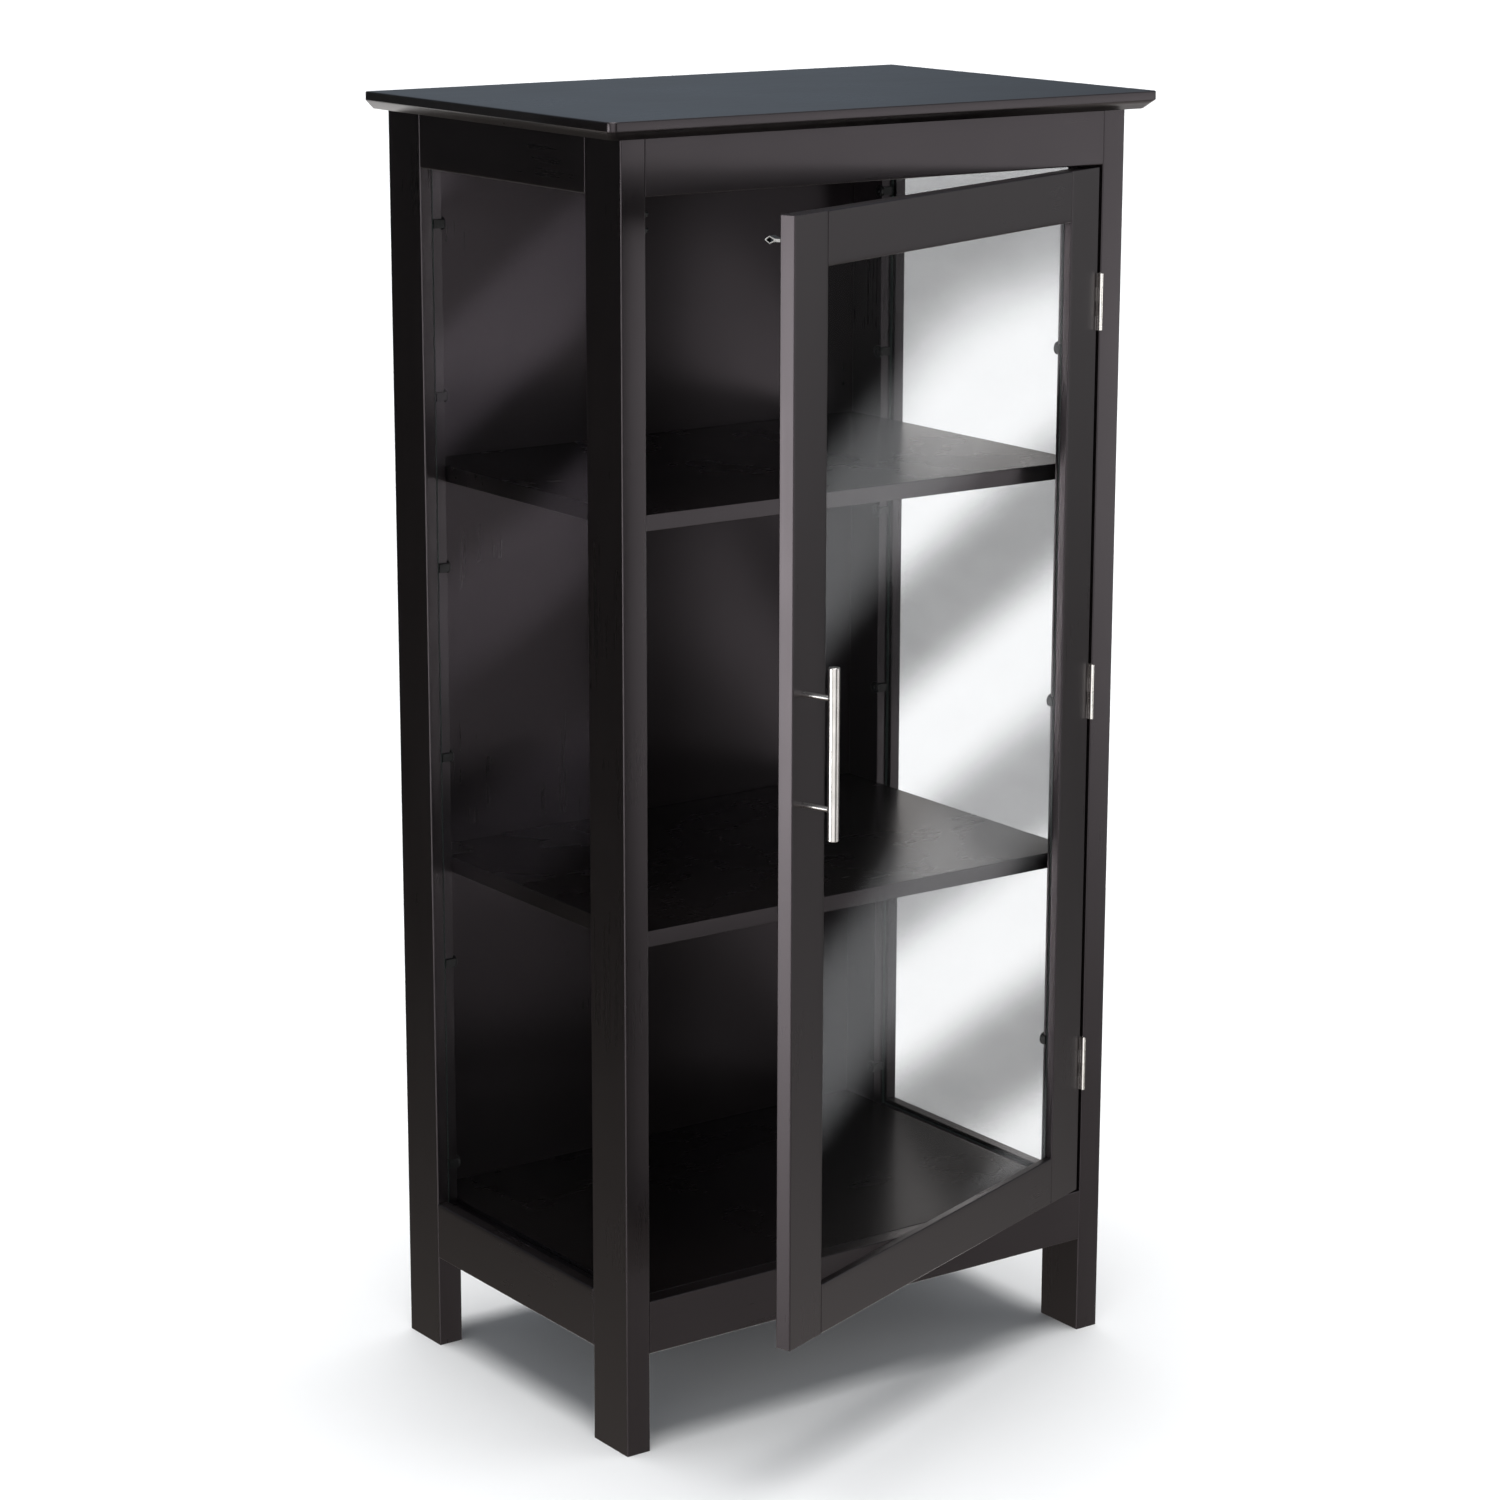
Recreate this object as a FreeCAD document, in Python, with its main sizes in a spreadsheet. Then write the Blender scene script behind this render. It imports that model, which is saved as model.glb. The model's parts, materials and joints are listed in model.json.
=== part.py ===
"""Glass-sided display cabinet with one hinged glass door, as separate pieces.

Frame: +Z up, X across the width, the door at -Y.  The floor is Z = 0 and the
origin is under the middle of the whole envelope, which takes in the door as it
stands, ajar.  All sizes are millimetres and degrees.  Door pieces are drawn
with the door shut, about the hinge axis, and then turned by door_angle.
"""
import FreeCAD
import Part
import Sketcher

import os
import re

Vector = FreeCAD.Vector

# ---------------------------------------------------------------- driving sizes
SIZES = {
    # whole cabinet
    "overall_height": 1200,
    "carcass_width": 554,
    "carcass_depth": 380,
    "carcass_centre_y": 98,
    # top panel
    "top_width": 600,
    "top_depth": 400,
    "top_thickness": 16,
    "top_chamfer": 8,
    "top_corner_radius": 7,
    # side frames
    "post_thickness": 25,
    "post_depth": 55,
    "side_top_rail_height": 50,
    "side_bottom_rail_height": 55,
    "side_bottom_rail_base": 90,
    # rails across the front and the rear
    "cross_rail_height": 50,
    "cross_rail_thickness": 18,
    "front_bottom_rail_base": 94,
    "rear_bottom_rail_base": 79,
    # panels and shelves
    "bottom_panel_thickness": 15,
    "back_panel_thickness": 3,
    "back_panel_rabbet": 8,
    "shelf_thickness": 15,
    "upper_shelf_top": 859,
    "lower_shelf_top": 485,
    "shelf_setback": 18,
    "shelf_gap": 1,
    "shelf_pin_line_front": 37,
    "shelf_pin_line_rear": 25,
    # glass
    "glass_thickness": 3,
    "glass_overlap": 4,
    "glass_rabbet": 5,
    "side_glass_lip": 12,
    "door_glass_lip": 8,
    # round glass clips
    "clip_radius": 6,
    "clip_height": 3,
    "clip_inset": 3,
    "clip_foot_width": 8,
    "clip_gap": 0.3,
    "clip_screw_head_radius": 2.8,
    "door_clip_inset": 162,
    # heights of the clips on every post, two to each compartment
    "side_clip_first": 181,
    "side_clip_second": 382,
    "side_clip_third": 583,
    "side_clip_fourth": 764,
    "side_clip_fifth": 924,
    "side_clip_sixth": 1082,
    # door
    "door_angle": 20,
    "door_gap": 2,
    "door_recess": 1,
    "door_thickness": 15,
    "door_stile_width": 50,
    "door_rail_width": 46,
    # butt hinges
    "hinge_length": 52.5,
    "upper_hinge_inset": 123,
    "lower_hinge_inset": 128.5,
    "middle_hinge_rise": 2.5,
    "hinge_axis_forward": 2.2,
    "leaf_thickness": 0.8,
    "leaf_width": 16.5,
    "leaf_relief": 0.3,
    "knuckle_radius": 2.1,
    "knuckle_play": 0.3,
    "hinge_pin_radius": 1.25,
    "running_clearance": 0.05,
    "hinge_screw_back": 11,
    "hinge_screw_spread": 17,
    "hinge_screw_head_radius": 2.3,
    "hinge_screw_length": 10,
    # bar handle
    "handle_radius": 5,
    "handle_length": 150,
    "handle_spacing": 96,
    "handle_reach": 30,
    "handle_edge_distance": 17,
    "handle_centre_height": 682,
    "handle_post_radius": 2.5,
    "handle_post_socket": 2,
    "handle_screw_grip": 7,
    # double roller catch
    "catch_height": 1110,
    "catch_lift": 12,
    "strike_edge_distance": 10,
    "strike_neck": 9.2,
    "strike_shoulder": 14.2,
    "strike_reach": 18.8,
    "strike_neck_half": 1.3,
    "strike_head_half": 3.3,
    "strike_metal": 0.8,
    "strike_width": 8,
    "strike_half_height": 12,
    "strike_screw_spread": 8,
    "strike_screw_head_radius": 2.6,
    "roller_radius": 3.2,
    "roller_half_gap": 3.65,
    "roller_depth": 24.3,
    "roller_length": 8,
    "arm_pivot_depth": 40.3,
    "arm_pivot_offset": 8,
    "arm_radius": 3,
    "arm_nose_radius": 2,
    "arm_width": 12.4,
    "roller_play": 0.3,
    "catch_pin_radius": 1.25,
    "roller_pin_radius": 0.8,
    "case_half_height": 14,
    "case_rear": 50,
    "case_depth": 20,
    "case_height_from_post": 19.8,
    "case_plate_length": 31,
    "case_metal": 1.2,
    "case_screw_front": 27,
    "case_screw_rear": 45,
    "spring_wire_radius": 0.3,
    "spring_radius": 1.8,
    "spring_turns": 3,
    "spring_play": 0.05,
    "spring_lever": 6.5,
    # joinery
    "dowel_radius": 4,
    "dowel_length": 30,
    "dowel_fit": 0.05,
    "cross_dowel_rise": 14,
    "bottom_dowel_low": 13,
    "bottom_dowel_high": 40,
    "top_dowel_low": 16,
    "top_dowel_high": 38,
    "door_dowel_radius": 3,
    "door_dowel_low": 12,
    "door_dowel_high": 34,
    "cam_radius": 7.5,
    "cam_distance": 34,
    "rail_cam_depth": 13.5,
    "panel_cam_depth": 11.5,
    "cam_bolt_radius": 2.5,
    "cam_bolt_bore": 3.5,
    "cam_bolt_depth": 10,
    "cam_bolt_head_radius": 3.3,
    "cam_bolt_head_length": 4,
    "cross_bolt_rise": 32,
    "bottom_bolt_front": 70,
    "bottom_bolt_rear": 200,
    "top_bolt_inset": 130,
    "screw_radius": 1.5,
    "screw_head_radius": 3,
    "screw_head_height": 1.8,
    "low_head_height": 1.2,
    "screw_grip": 8,
    "hole_clearance": 1,
    "back_screw_side_inset": 70,
    "back_screw_end_inset": 20,
    # shelf pins
    "pin_radius": 2.5,
    "pin_depth": 9,
    "spoon_length": 12,
    "spoon_half_width": 4,
    "spoon_thickness": 2,
}
CLIP_HEIGHTS = tuple(alias for alias in SIZES if alias.startswith("side_clip_"))
CATCH_SCREW_DEPTHS = ("case_screw_front", "case_screw_rear")
TOLERANCE = 0.01

doc = FreeCAD.newDocument("display_cabinet")
sheet = doc.addObject("Spreadsheet::Sheet", "Sizes")
for row, (alias, number) in enumerate(SIZES.items(), start=1):
    sheet.set(f"A{row}", alias)
    sheet.set(f"B{row}", str(number))
    sheet.setAlias(f"B{row}", alias)
doc.recompute()

nodes = {}
board_sizes = {}

# ---------------------------------------------------------------- derived sizes
FRONT = "(carcass_centre_y - carcass_depth / 2)"
BACK = "(carcass_centre_y + carcass_depth / 2)"
LEFT = "(-carcass_width / 2)"
RIGHT = "(carcass_width / 2)"
INNER_LEFT = "(post_thickness - carcass_width / 2)"
INNER_RIGHT = "(carcass_width / 2 - post_thickness)"
POST_HEIGHT = "(overall_height - top_thickness)"
INSIDE_WIDTH = "(carcass_width - 2 * post_thickness)"
SIDE_OPENING = "(carcass_depth - 2 * post_depth)"
SIDE_SILL = "(side_bottom_rail_base + side_bottom_rail_height)"
SIDE_HEAD = "(overall_height - top_thickness - side_top_rail_height)"
FRONT_SILL = "(front_bottom_rail_base + cross_rail_height)"
TOP_RAIL_BASE = "(overall_height - top_thickness - cross_rail_height)"
FRONT_RAIL_LINE = "(cross_rail_thickness / 2)"
REAR_RAIL_LINE = "(post_depth - back_panel_thickness - cross_rail_thickness / 2)"
PANEL_LINE = f"({FRONT_SILL} - bottom_panel_thickness / 2)"
DOOR_BASE = f"({FRONT_SILL} + door_gap)"
DOOR_HEIGHT = f"({TOP_RAIL_BASE} - door_gap - {DOOR_BASE})"
DOOR_WIDTH = f"({INSIDE_WIDTH} - 2 * door_gap)"
DOOR_FACE = "(hinge_axis_forward + door_recess)"
DOOR_REAR = f"({DOOR_FACE} + door_thickness)"
HINGE_EDGE = "(-door_gap / 2)"
FREE_EDGE = f"(-door_gap / 2 - {DOOR_WIDTH})"
AXIS_X = f"({INNER_RIGHT} - door_gap / 2)"
AXIS_Y = f"({FRONT} - hinge_axis_forward)"

SHELF_UNDERSIDES = ("(upper_shelf_top - shelf_thickness)", "(lower_shelf_top - shelf_thickness)")
BOTTOM_BOLT_LINES = ("bottom_bolt_front", "bottom_bolt_rear")
TOP_BOLT_LINES = ("top_bolt_inset", f"({INSIDE_WIDTH} - top_bolt_inset)")
SIDE_DOWELS = {
    "bottom": ("(side_bottom_rail_base + bottom_dowel_low)", "(side_bottom_rail_base + bottom_dowel_high)"),
    "top": (f"({SIDE_HEAD} + top_dowel_low)", f"({SIDE_HEAD} + top_dowel_high)"),
}
DOOR_DOWELS = ("door_dowel_low", "door_dowel_high")
DOWEL_HOLE = "(dowel_length / 2 + hole_clearance)"
SCREW_HOLE = "(screw_grip + hole_clearance)"
HINGE_SCREW_HOLE = "(hinge_screw_length + hole_clearance)"
HINGE_CENTRES = {
    "upper": f"({DOOR_BASE} + {DOOR_HEIGHT} - upper_hinge_inset)",
    "middle": f"({DOOR_BASE} + {DOOR_HEIGHT} / 2 + middle_hinge_rise)",
    "lower": f"({DOOR_BASE} + lower_hinge_inset)",
}
DOOR_CLIP_HEIGHTS = (
    f"({DOOR_BASE} + door_clip_inset)",
    f"({DOOR_BASE} + {DOOR_HEIGHT} / 2)",
    f"({DOOR_BASE} + {DOOR_HEIGHT} - door_clip_inset)",
)


# ---------------------------------------------------------------- small helpers
def formula(text):
    """Point each size's name at its cell of the sheet."""
    return re.sub(r"[a-z_]+", lambda m: f"Sizes.{m[0]}" if m[0] in SIZES else m[0], str(text))


def value(text):
    """Work a formula out to a number."""
    return float(sheet.evalExpression(formula(text)))


def place(piece, x, y, z):
    """Bind the place of a piece that isn't on the door."""
    for axis, text in zip("xyz", (x, y, z)):
        piece.setExpression(f"Placement.Base.{axis}", formula(text))


def place_on_door(piece, x="0", y="0", z="0"):
    """Turn a piece with the door; x, y and z are from the hinge axis, door shut."""
    turned_x = f"{AXIS_X} + cos(door_angle) * ({x}) - sin(door_angle) * ({y})"
    turned_y = f"{AXIS_Y} + sin(door_angle) * ({x}) + cos(door_angle) * ({y})"
    place(piece, turned_x, turned_y, z)
    piece.setExpression("Placement.Rotation.Angle", formula("door_angle"))


def keep(piece, label):
    """Make a finished object one named sub-part."""
    piece.Label = label
    nodes[label] = piece
    return piece


# ---------------------------------------------------------------- boards
def new_sketch(body, role, offset="0"):
    """Start a sketch on one of the body's own origin planes, moved by offset."""
    sketch = body.newObject("Sketcher::SketchObject", f"{body.Name}_sketch")
    plane = next(item for item in body.Origin.OriginFeatures if item.Role == role)
    sketch.AttachmentSupport = [(plane, "")]
    sketch.MapMode = "FlatFace"
    sketch.setExpression("AttachmentOffset.Base.z", formula(offset))
    return sketch


def constrain(sketch, text, kind, *target):
    """Add one dimension to a sketch and bind it to a formula."""
    index = sketch.addConstraint(Sketcher.Constraint(kind, *target, value(text)))
    sketch.setExpression(f"Constraints[{index}]", formula(text))


def polygon(sketch, corners):
    """Draw a closed outline through corners, each a pair of formulas."""
    first = sketch.GeometryCount
    points = [Vector(value(across), value(up), 0) for across, up in corners]
    count = len(points)
    for index in range(count):
        sketch.addGeometry(Part.LineSegment(points[index], points[(index + 1) % count]))
    for index in range(count):
        following = first + (index + 1) % count
        sketch.addConstraint(Sketcher.Constraint("Coincident", first + index, 2, following, 1))
    for index, (across, up) in enumerate(corners):
        constrain(sketch, across, "DistanceX", -1, 1, first + index, 1)
        constrain(sketch, up, "DistanceY", -1, 1, first + index, 1)


def rectangle(sketch, low, high):
    """Draw a rectangle between two opposite corners."""
    polygon(sketch, [(low[0], low[1]), (high[0], low[1]), (high[0], high[1]), (low[0], high[1])])


def circle(sketch, centre, radius):
    """Draw a circle."""
    at = Vector(value(centre[0]), value(centre[1]), 0)
    index = sketch.addGeometry(Part.Circle(at, Vector(0, 0, 1), value(radius)))
    constrain(sketch, centre[0], "DistanceX", -1, 1, index, 3)
    constrain(sketch, centre[1], "DistanceY", -1, 1, index, 3)
    constrain(sketch, radius, "Radius", index)


def board(label, size):
    """A rectangular board with its lowest corner at its own origin."""
    body = doc.addObject("PartDesign::Body", label)
    sketch = new_sketch(body, "XY_Plane")
    rectangle(sketch, ("0", "0"), (size[0], size[1]))
    pad = body.newObject("PartDesign::Pad", f"{label}_pad")
    pad.Profile = sketch
    pad.setExpression("Length", formula(size[2]))
    sketch.Visibility = False
    board_sizes[label] = size
    return keep(body, label)


def cut_into(body, face, depth):
    """Start a pocket in one face of a board; its sketch uses the other two axes in order."""
    size_x, size_y, size_z = board_sizes[body.Label]
    role, offset, towards_plus = {
        "x_low": ("YZ_Plane", "0", True),
        "x_high": ("YZ_Plane", size_x, False),
        "y_low": ("XZ_Plane", "0", False),
        "y_high": ("XZ_Plane", f"-({size_y})", True),
        "z_low": ("XY_Plane", "0", True),
        "z_high": ("XY_Plane", size_z, False),
    }[face]
    sketch = new_sketch(body, role, offset)
    pocket = body.newObject("PartDesign::Pocket", f"{body.Name}_{face}")
    pocket.Profile = sketch
    pocket.Reversed = towards_plus
    pocket.setExpression("Length", formula(depth))
    return sketch


def rabbet(body, face, low, high, depth):
    """Cut a rectangular step or groove."""
    rectangle(cut_into(body, face, depth), low, high)


def drill(body, face, centres, radius, depth):
    """Drill equal round holes."""
    sketch = cut_into(body, face, depth)
    for centre in centres:
        circle(sketch, centre, radius)


# ---------------------------------------------------------------- hardware
TURNS = {
    "+x": (Vector(0, 1, 0), 90),
    "-x": (Vector(0, 1, 0), -90),
    "+y": (Vector(1, 0, 0), -90),
    "-y": (Vector(1, 0, 0), 90),
    "+z": (Vector(0, 0, 1), 0),
    "-z": (Vector(1, 0, 0), 180),
}


def rod(radius, length, at, towards, end_radius=None):
    """A round rod, or a taper when end_radius is given, from at along one axis."""
    if end_radius is None:
        piece = doc.addObject("Part::Cylinder", "rod")
        piece.setExpression("Radius", formula(radius))
    else:
        piece = doc.addObject("Part::Cone", "taper")
        piece.setExpression("Radius1", formula(radius))
        piece.setExpression("Radius2", formula(end_radius))
    piece.setExpression("Height", formula(length))
    piece.Placement.Rotation = FreeCAD.Rotation(*TURNS[towards])
    place(piece, *at)
    return piece


def block(low, high):
    """A box between two opposite corners."""
    piece = doc.addObject("Part::Box", "block")
    for name, start, end in zip(("Length", "Width", "Height"), low, high):
        piece.setExpression(name, formula(f"({end}) - ({start})"))
    place(piece, *low)
    return piece


def join(*pieces):
    """Fuse pieces into one solid."""
    fused = doc.addObject("Part::MultiFuse", "joined")
    fused.Shapes = list(pieces)
    fused.Refine = True
    return fused


def remove(base, *tools):
    """Cut tools away from a base."""
    cut = doc.addObject("Part::Cut", "cut")
    cut.Base = base
    cut.Tool = tools[0] if len(tools) == 1 else join(*tools)
    return cut


def group(label, pieces):
    """Gather identical separate solids in one sub-part."""
    compound = doc.addObject("Part::Compound", label)
    compound.Links = list(pieces)
    return keep(compound, label)


def step_back(at, towards, distance):
    """The point that lies distance behind at, against the direction towards."""
    moved = list(at)
    axis = "xyz".index(towards[1])
    sign = "-" if towards[0] == "+" else "+"
    moved[axis] = f"({at[axis]}) {sign} ({distance})"
    return tuple(moved)


def pan_screw(at, towards, length, head_radius="screw_head_radius", head_height="low_head_height"):
    """A round-headed screw whose head bears on at and whose shank runs along towards."""
    head = rod(head_radius, head_height, step_back(at, towards, head_height), towards)
    return join(head, rod("screw_radius", length, at, towards))


# ---------------------------------------------------------------- carcass
def make_post(side, end):
    """One leg of a side frame, from the floor to the top panel."""
    body = board(f"{end}_{side}_post", ("post_thickness", "post_depth", POST_HEIGHT))
    at_x = LEFT if side == "left" else INNER_RIGHT
    at_y = FRONT if end == "front" else f"({BACK} - post_depth)"
    place(body, at_x, at_y, "0")
    inner = "x_high" if side == "left" else "x_low"
    opening = "y_high" if end == "front" else "y_low"

    step = ("post_depth - glass_rabbet", "post_depth") if end == "front" else ("0", "glass_rabbet")
    glass_low = (step[0], f"{SIDE_SILL} - glass_rabbet")
    glass_high = (step[1], f"{SIDE_HEAD} + glass_rabbet")
    rabbet(body, inner, glass_low, glass_high, "post_thickness - side_glass_lip")
    if end == "rear":
        low = ("post_depth - back_panel_thickness", "rear_bottom_rail_base")
        rabbet(body, inner, low, ("post_depth", POST_HEIGHT), "back_panel_rabbet")

    rail_line = FRONT_RAIL_LINE if end == "front" else REAR_RAIL_LINE
    bases = (TOP_RAIL_BASE, f"{end}_bottom_rail_base")
    drill(body, inner, [(rail_line, f"{base} + cross_bolt_rise") for base in bases],
          "cam_bolt_radius", "cam_bolt_depth")
    drill(body, inner, [(rail_line, f"{base} + cross_dowel_rise") for base in bases],
          "dowel_radius", DOWEL_HOLE)
    pins = [(f"shelf_pin_line_{end}", f"{underside} - pin_radius") for underside in SHELF_UNDERSIDES]
    drill(body, inner, pins, "pin_radius", "pin_depth")
    clip_line = clip_line_on_post(end)
    drill(body, inner, [(clip_line, height) for height in CLIP_HEIGHTS], "screw_radius", SCREW_HOLE)
    dowels = [("post_thickness / 2", height) for pair in SIDE_DOWELS.values() for height in pair]
    drill(body, opening, dowels, "dowel_radius", DOWEL_HOLE)
    return body


def clip_line_on_post(end):
    """Where the glass clips' screws stand, from the post's own front."""
    distance = "(glass_rabbet + clip_inset)"
    return f"(post_depth - {distance})" if end == "front" else distance


def make_side_rail(side, level):
    """A rail of a side frame, between its two posts."""
    height = f"side_{level}_rail_height"
    base = "side_bottom_rail_base" if level == "bottom" else SIDE_HEAD
    body = board(f"{side}_{level}_rail", ("post_thickness", SIDE_OPENING, height))
    at_x = LEFT if side == "left" else INNER_RIGHT
    place(body, at_x, f"{FRONT} + post_depth", base)
    inner = "x_high" if side == "left" else "x_low"
    bottom = level == "bottom"
    low = ("0", f"{height} - glass_rabbet") if bottom else ("0", "0")
    high = (SIDE_OPENING, height) if bottom else (SIDE_OPENING, "glass_rabbet")
    rabbet(body, inner, low, high, "post_thickness - side_glass_lip")
    dowels = [("post_thickness / 2", f"{rise} - {base}") for rise in SIDE_DOWELS[level]]
    for face in ("y_low", "y_high"):
        drill(body, face, dowels, "dowel_radius", DOWEL_HOLE)
    if bottom:
        bolts = [(line, f"{PANEL_LINE} - {base}") for line in BOTTOM_BOLT_LINES]
        drill(body, inner, bolts, "cam_bolt_radius", "cam_bolt_depth")
    return body


def make_cross_rail(end, level):
    """A rail across the front or the rear, held to the posts by cams and dowels."""
    body = board(f"{end}_{level}_rail", (INSIDE_WIDTH, "cross_rail_thickness", "cross_rail_height"))
    at_y = FRONT if end == "front" else f"({BACK} - back_panel_thickness - cross_rail_thickness)"
    base = TOP_RAIL_BASE if level == "top" else f"{end}_bottom_rail_base"
    place(body, INNER_LEFT, at_y, base)
    hidden = "y_high" if end == "front" else "y_low"
    middle = "cross_rail_thickness / 2"
    cams = [(line, "cross_bolt_rise") for line in ("cam_distance", f"{INSIDE_WIDTH} - cam_distance")]
    if level == "top":
        cams += [(line, "cross_rail_height - cam_distance") for line in TOP_BOLT_LINES]
        drill(body, "z_high", [(line, middle) for line in TOP_BOLT_LINES], "cam_bolt_bore", "cam_distance")
    drill(body, hidden, cams, "cam_radius", "rail_cam_depth")
    for face in ("x_low", "x_high"):
        drill(body, face, [(middle, "cross_bolt_rise")], "cam_bolt_bore", "cam_distance")
        drill(body, face, [(middle, "cross_dowel_rise")], "dowel_radius", DOWEL_HOLE)
    return body


def make_top_panel():
    """The overhanging top, chamfered beneath along its front and its ends."""
    body = board("top_panel", ("top_width", "top_depth", "top_thickness"))
    place(body, "-top_width / 2", f"{BACK} - top_depth", POST_HEIGHT)
    front_line = f"top_depth - carcass_depth + {FRONT_RAIL_LINE}"
    rear_line = f"top_depth - post_depth + {REAR_RAIL_LINE}"
    inset = "(top_width - carcass_width) / 2 + post_thickness"
    bolts = [(f"{inset} + {line}", row) for line in TOP_BOLT_LINES for row in (front_line, rear_line)]
    drill(body, "z_low", bolts, "cam_bolt_radius", "cam_bolt_depth")
    doc.recompute()
    drilled = body.Tip

    low_edges = []
    for number, edge in enumerate(drilled.Shape.Edges, start=1):
        box = edge.BoundBox
        along_rear = box.YMin > value("top_depth") - TOLERANCE
        if box.ZMax < TOLERANCE and not along_rear and edge.Curve.TypeId == "Part::GeomLine":
            low_edges.append(f"Edge{number}")
    chamfer = body.newObject("PartDesign::Chamfer", "top_chamfer")
    chamfer.Base = (drilled, low_edges)
    chamfer.setExpression("Size", formula("top_chamfer"))
    doc.recompute()

    corners = []
    end_line = value("top_width / 2 - top_chamfer") - TOLERANCE
    for number, edge in enumerate(chamfer.Shape.Edges, start=1):
        box = edge.BoundBox
        at_front = box.YMax < value("top_chamfer") + TOLERANCE
        at_end = abs(box.Center.x - value("top_width / 2")) > end_line
        upright = box.ZLength > TOLERANCE and edge.Curve.TypeId == "Part::GeomLine"
        if at_front and at_end and upright:
            corners.append(f"Edge{number}")
    fillet = body.newObject("PartDesign::Fillet", "top_corners")
    fillet.Base = (chamfer, corners)
    fillet.setExpression("Radius", formula("top_corner_radius"))
    return body


def make_bottom_panel():
    """The cabinet floor, level with the front rail's top edge."""
    depth = "(carcass_depth - cross_rail_thickness - back_panel_thickness)"
    body = board("bottom_panel", (INSIDE_WIDTH, depth, "bottom_panel_thickness"))
    place(body, INNER_LEFT, f"{FRONT} + cross_rail_thickness", f"{FRONT_SILL} - bottom_panel_thickness")
    lines = [f"post_depth + {line} - cross_rail_thickness" for line in BOTTOM_BOLT_LINES]
    ends = ("cam_distance", f"{INSIDE_WIDTH} - cam_distance")
    cams = [(end, line) for end in ends for line in lines]
    drill(body, "z_low", cams, "cam_radius", "panel_cam_depth")
    for face in ("x_low", "x_high"):
        bores = [(line, "bottom_panel_thickness / 2") for line in lines]
        drill(body, face, bores, "cam_bolt_bore", "cam_distance")
    return body


def make_back_panel():
    """The thin back, let into the rear posts."""
    width = f"({INSIDE_WIDTH} + 2 * back_panel_rabbet)"
    height = f"({POST_HEIGHT} - rear_bottom_rail_base)"
    body = board("back_panel", (width, "back_panel_thickness", height))
    place(body, f"{INNER_LEFT} - back_panel_rabbet", f"{BACK} - back_panel_thickness",
          "rear_bottom_rail_base")
    drill(body, "y_high", back_screw_centres(), "screw_radius", "back_panel_thickness")
    return body


def back_screw_centres():
    """Screws along the back panel's top and bottom edges, from its lowest corner."""
    width = f"({INSIDE_WIDTH} + 2 * back_panel_rabbet)"
    side, end = "back_screw_side_inset", "back_screw_end_inset"
    columns = (side, f"{width} / 3", f"{width} * 2 / 3", f"{width} - {side}")
    rows = (end, f"{POST_HEIGHT} - rear_bottom_rail_base - {end}")
    return [(column, row) for row in rows for column in columns]


def drill_rear_rails_for_back_screws():
    """Pilot holes for the back panel's screws in the two rear rails."""
    screws = back_screw_centres()
    in_one_row = len(screws) // 2
    for level, centres in (("bottom", screws[:in_one_row]), ("top", screws[in_one_row:])):
        rail = nodes[f"rear_{level}_rail"]
        base = TOP_RAIL_BASE if level == "top" else "rear_bottom_rail_base"
        moved = [(f"{x} - back_panel_rabbet", f"{z} + rear_bottom_rail_base - {base}") for x, z in centres]
        drill(rail, "y_high", moved, "screw_radius", SCREW_HOLE)


def make_shelf(level):
    """A loose shelf that rests on four pins."""
    width = f"({INSIDE_WIDTH} - 2 * shelf_gap)"
    depth = "(carcass_depth - shelf_setback - back_panel_thickness - shelf_gap)"
    body = board(f"{level}_shelf", (width, depth, "shelf_thickness"))
    place(body, f"{INNER_LEFT} + shelf_gap", f"{FRONT} + shelf_setback",
          f"{level}_shelf_top - shelf_thickness")
    return body


def make_side_glass(side):
    """A pane behind the lip of a side frame."""
    depth = f"({SIDE_OPENING} + 2 * glass_overlap)"
    height = f"({SIDE_HEAD} - {SIDE_SILL} + 2 * glass_overlap)"
    body = board(f"{side}_glass", ("glass_thickness", depth, height))
    at_x = f"{LEFT} + side_glass_lip"
    if side == "right":
        at_x = f"{RIGHT} - side_glass_lip - glass_thickness"
    place(body, at_x, f"{FRONT} + post_depth - glass_overlap", f"{SIDE_SILL} - glass_overlap")
    return body


# ---------------------------------------------------------------- carcass hardware
def inner_face(side):
    """The inner face of a side frame, and the way from it into the cabinet."""
    return (INNER_LEFT, "+x", "-x") if side == "left" else (INNER_RIGHT, "-x", "+x")


def offset(start, towards, distance):
    """A coordinate moved along its axis, as a formula."""
    return f"({start}) {towards[0]} ({distance})"


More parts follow.
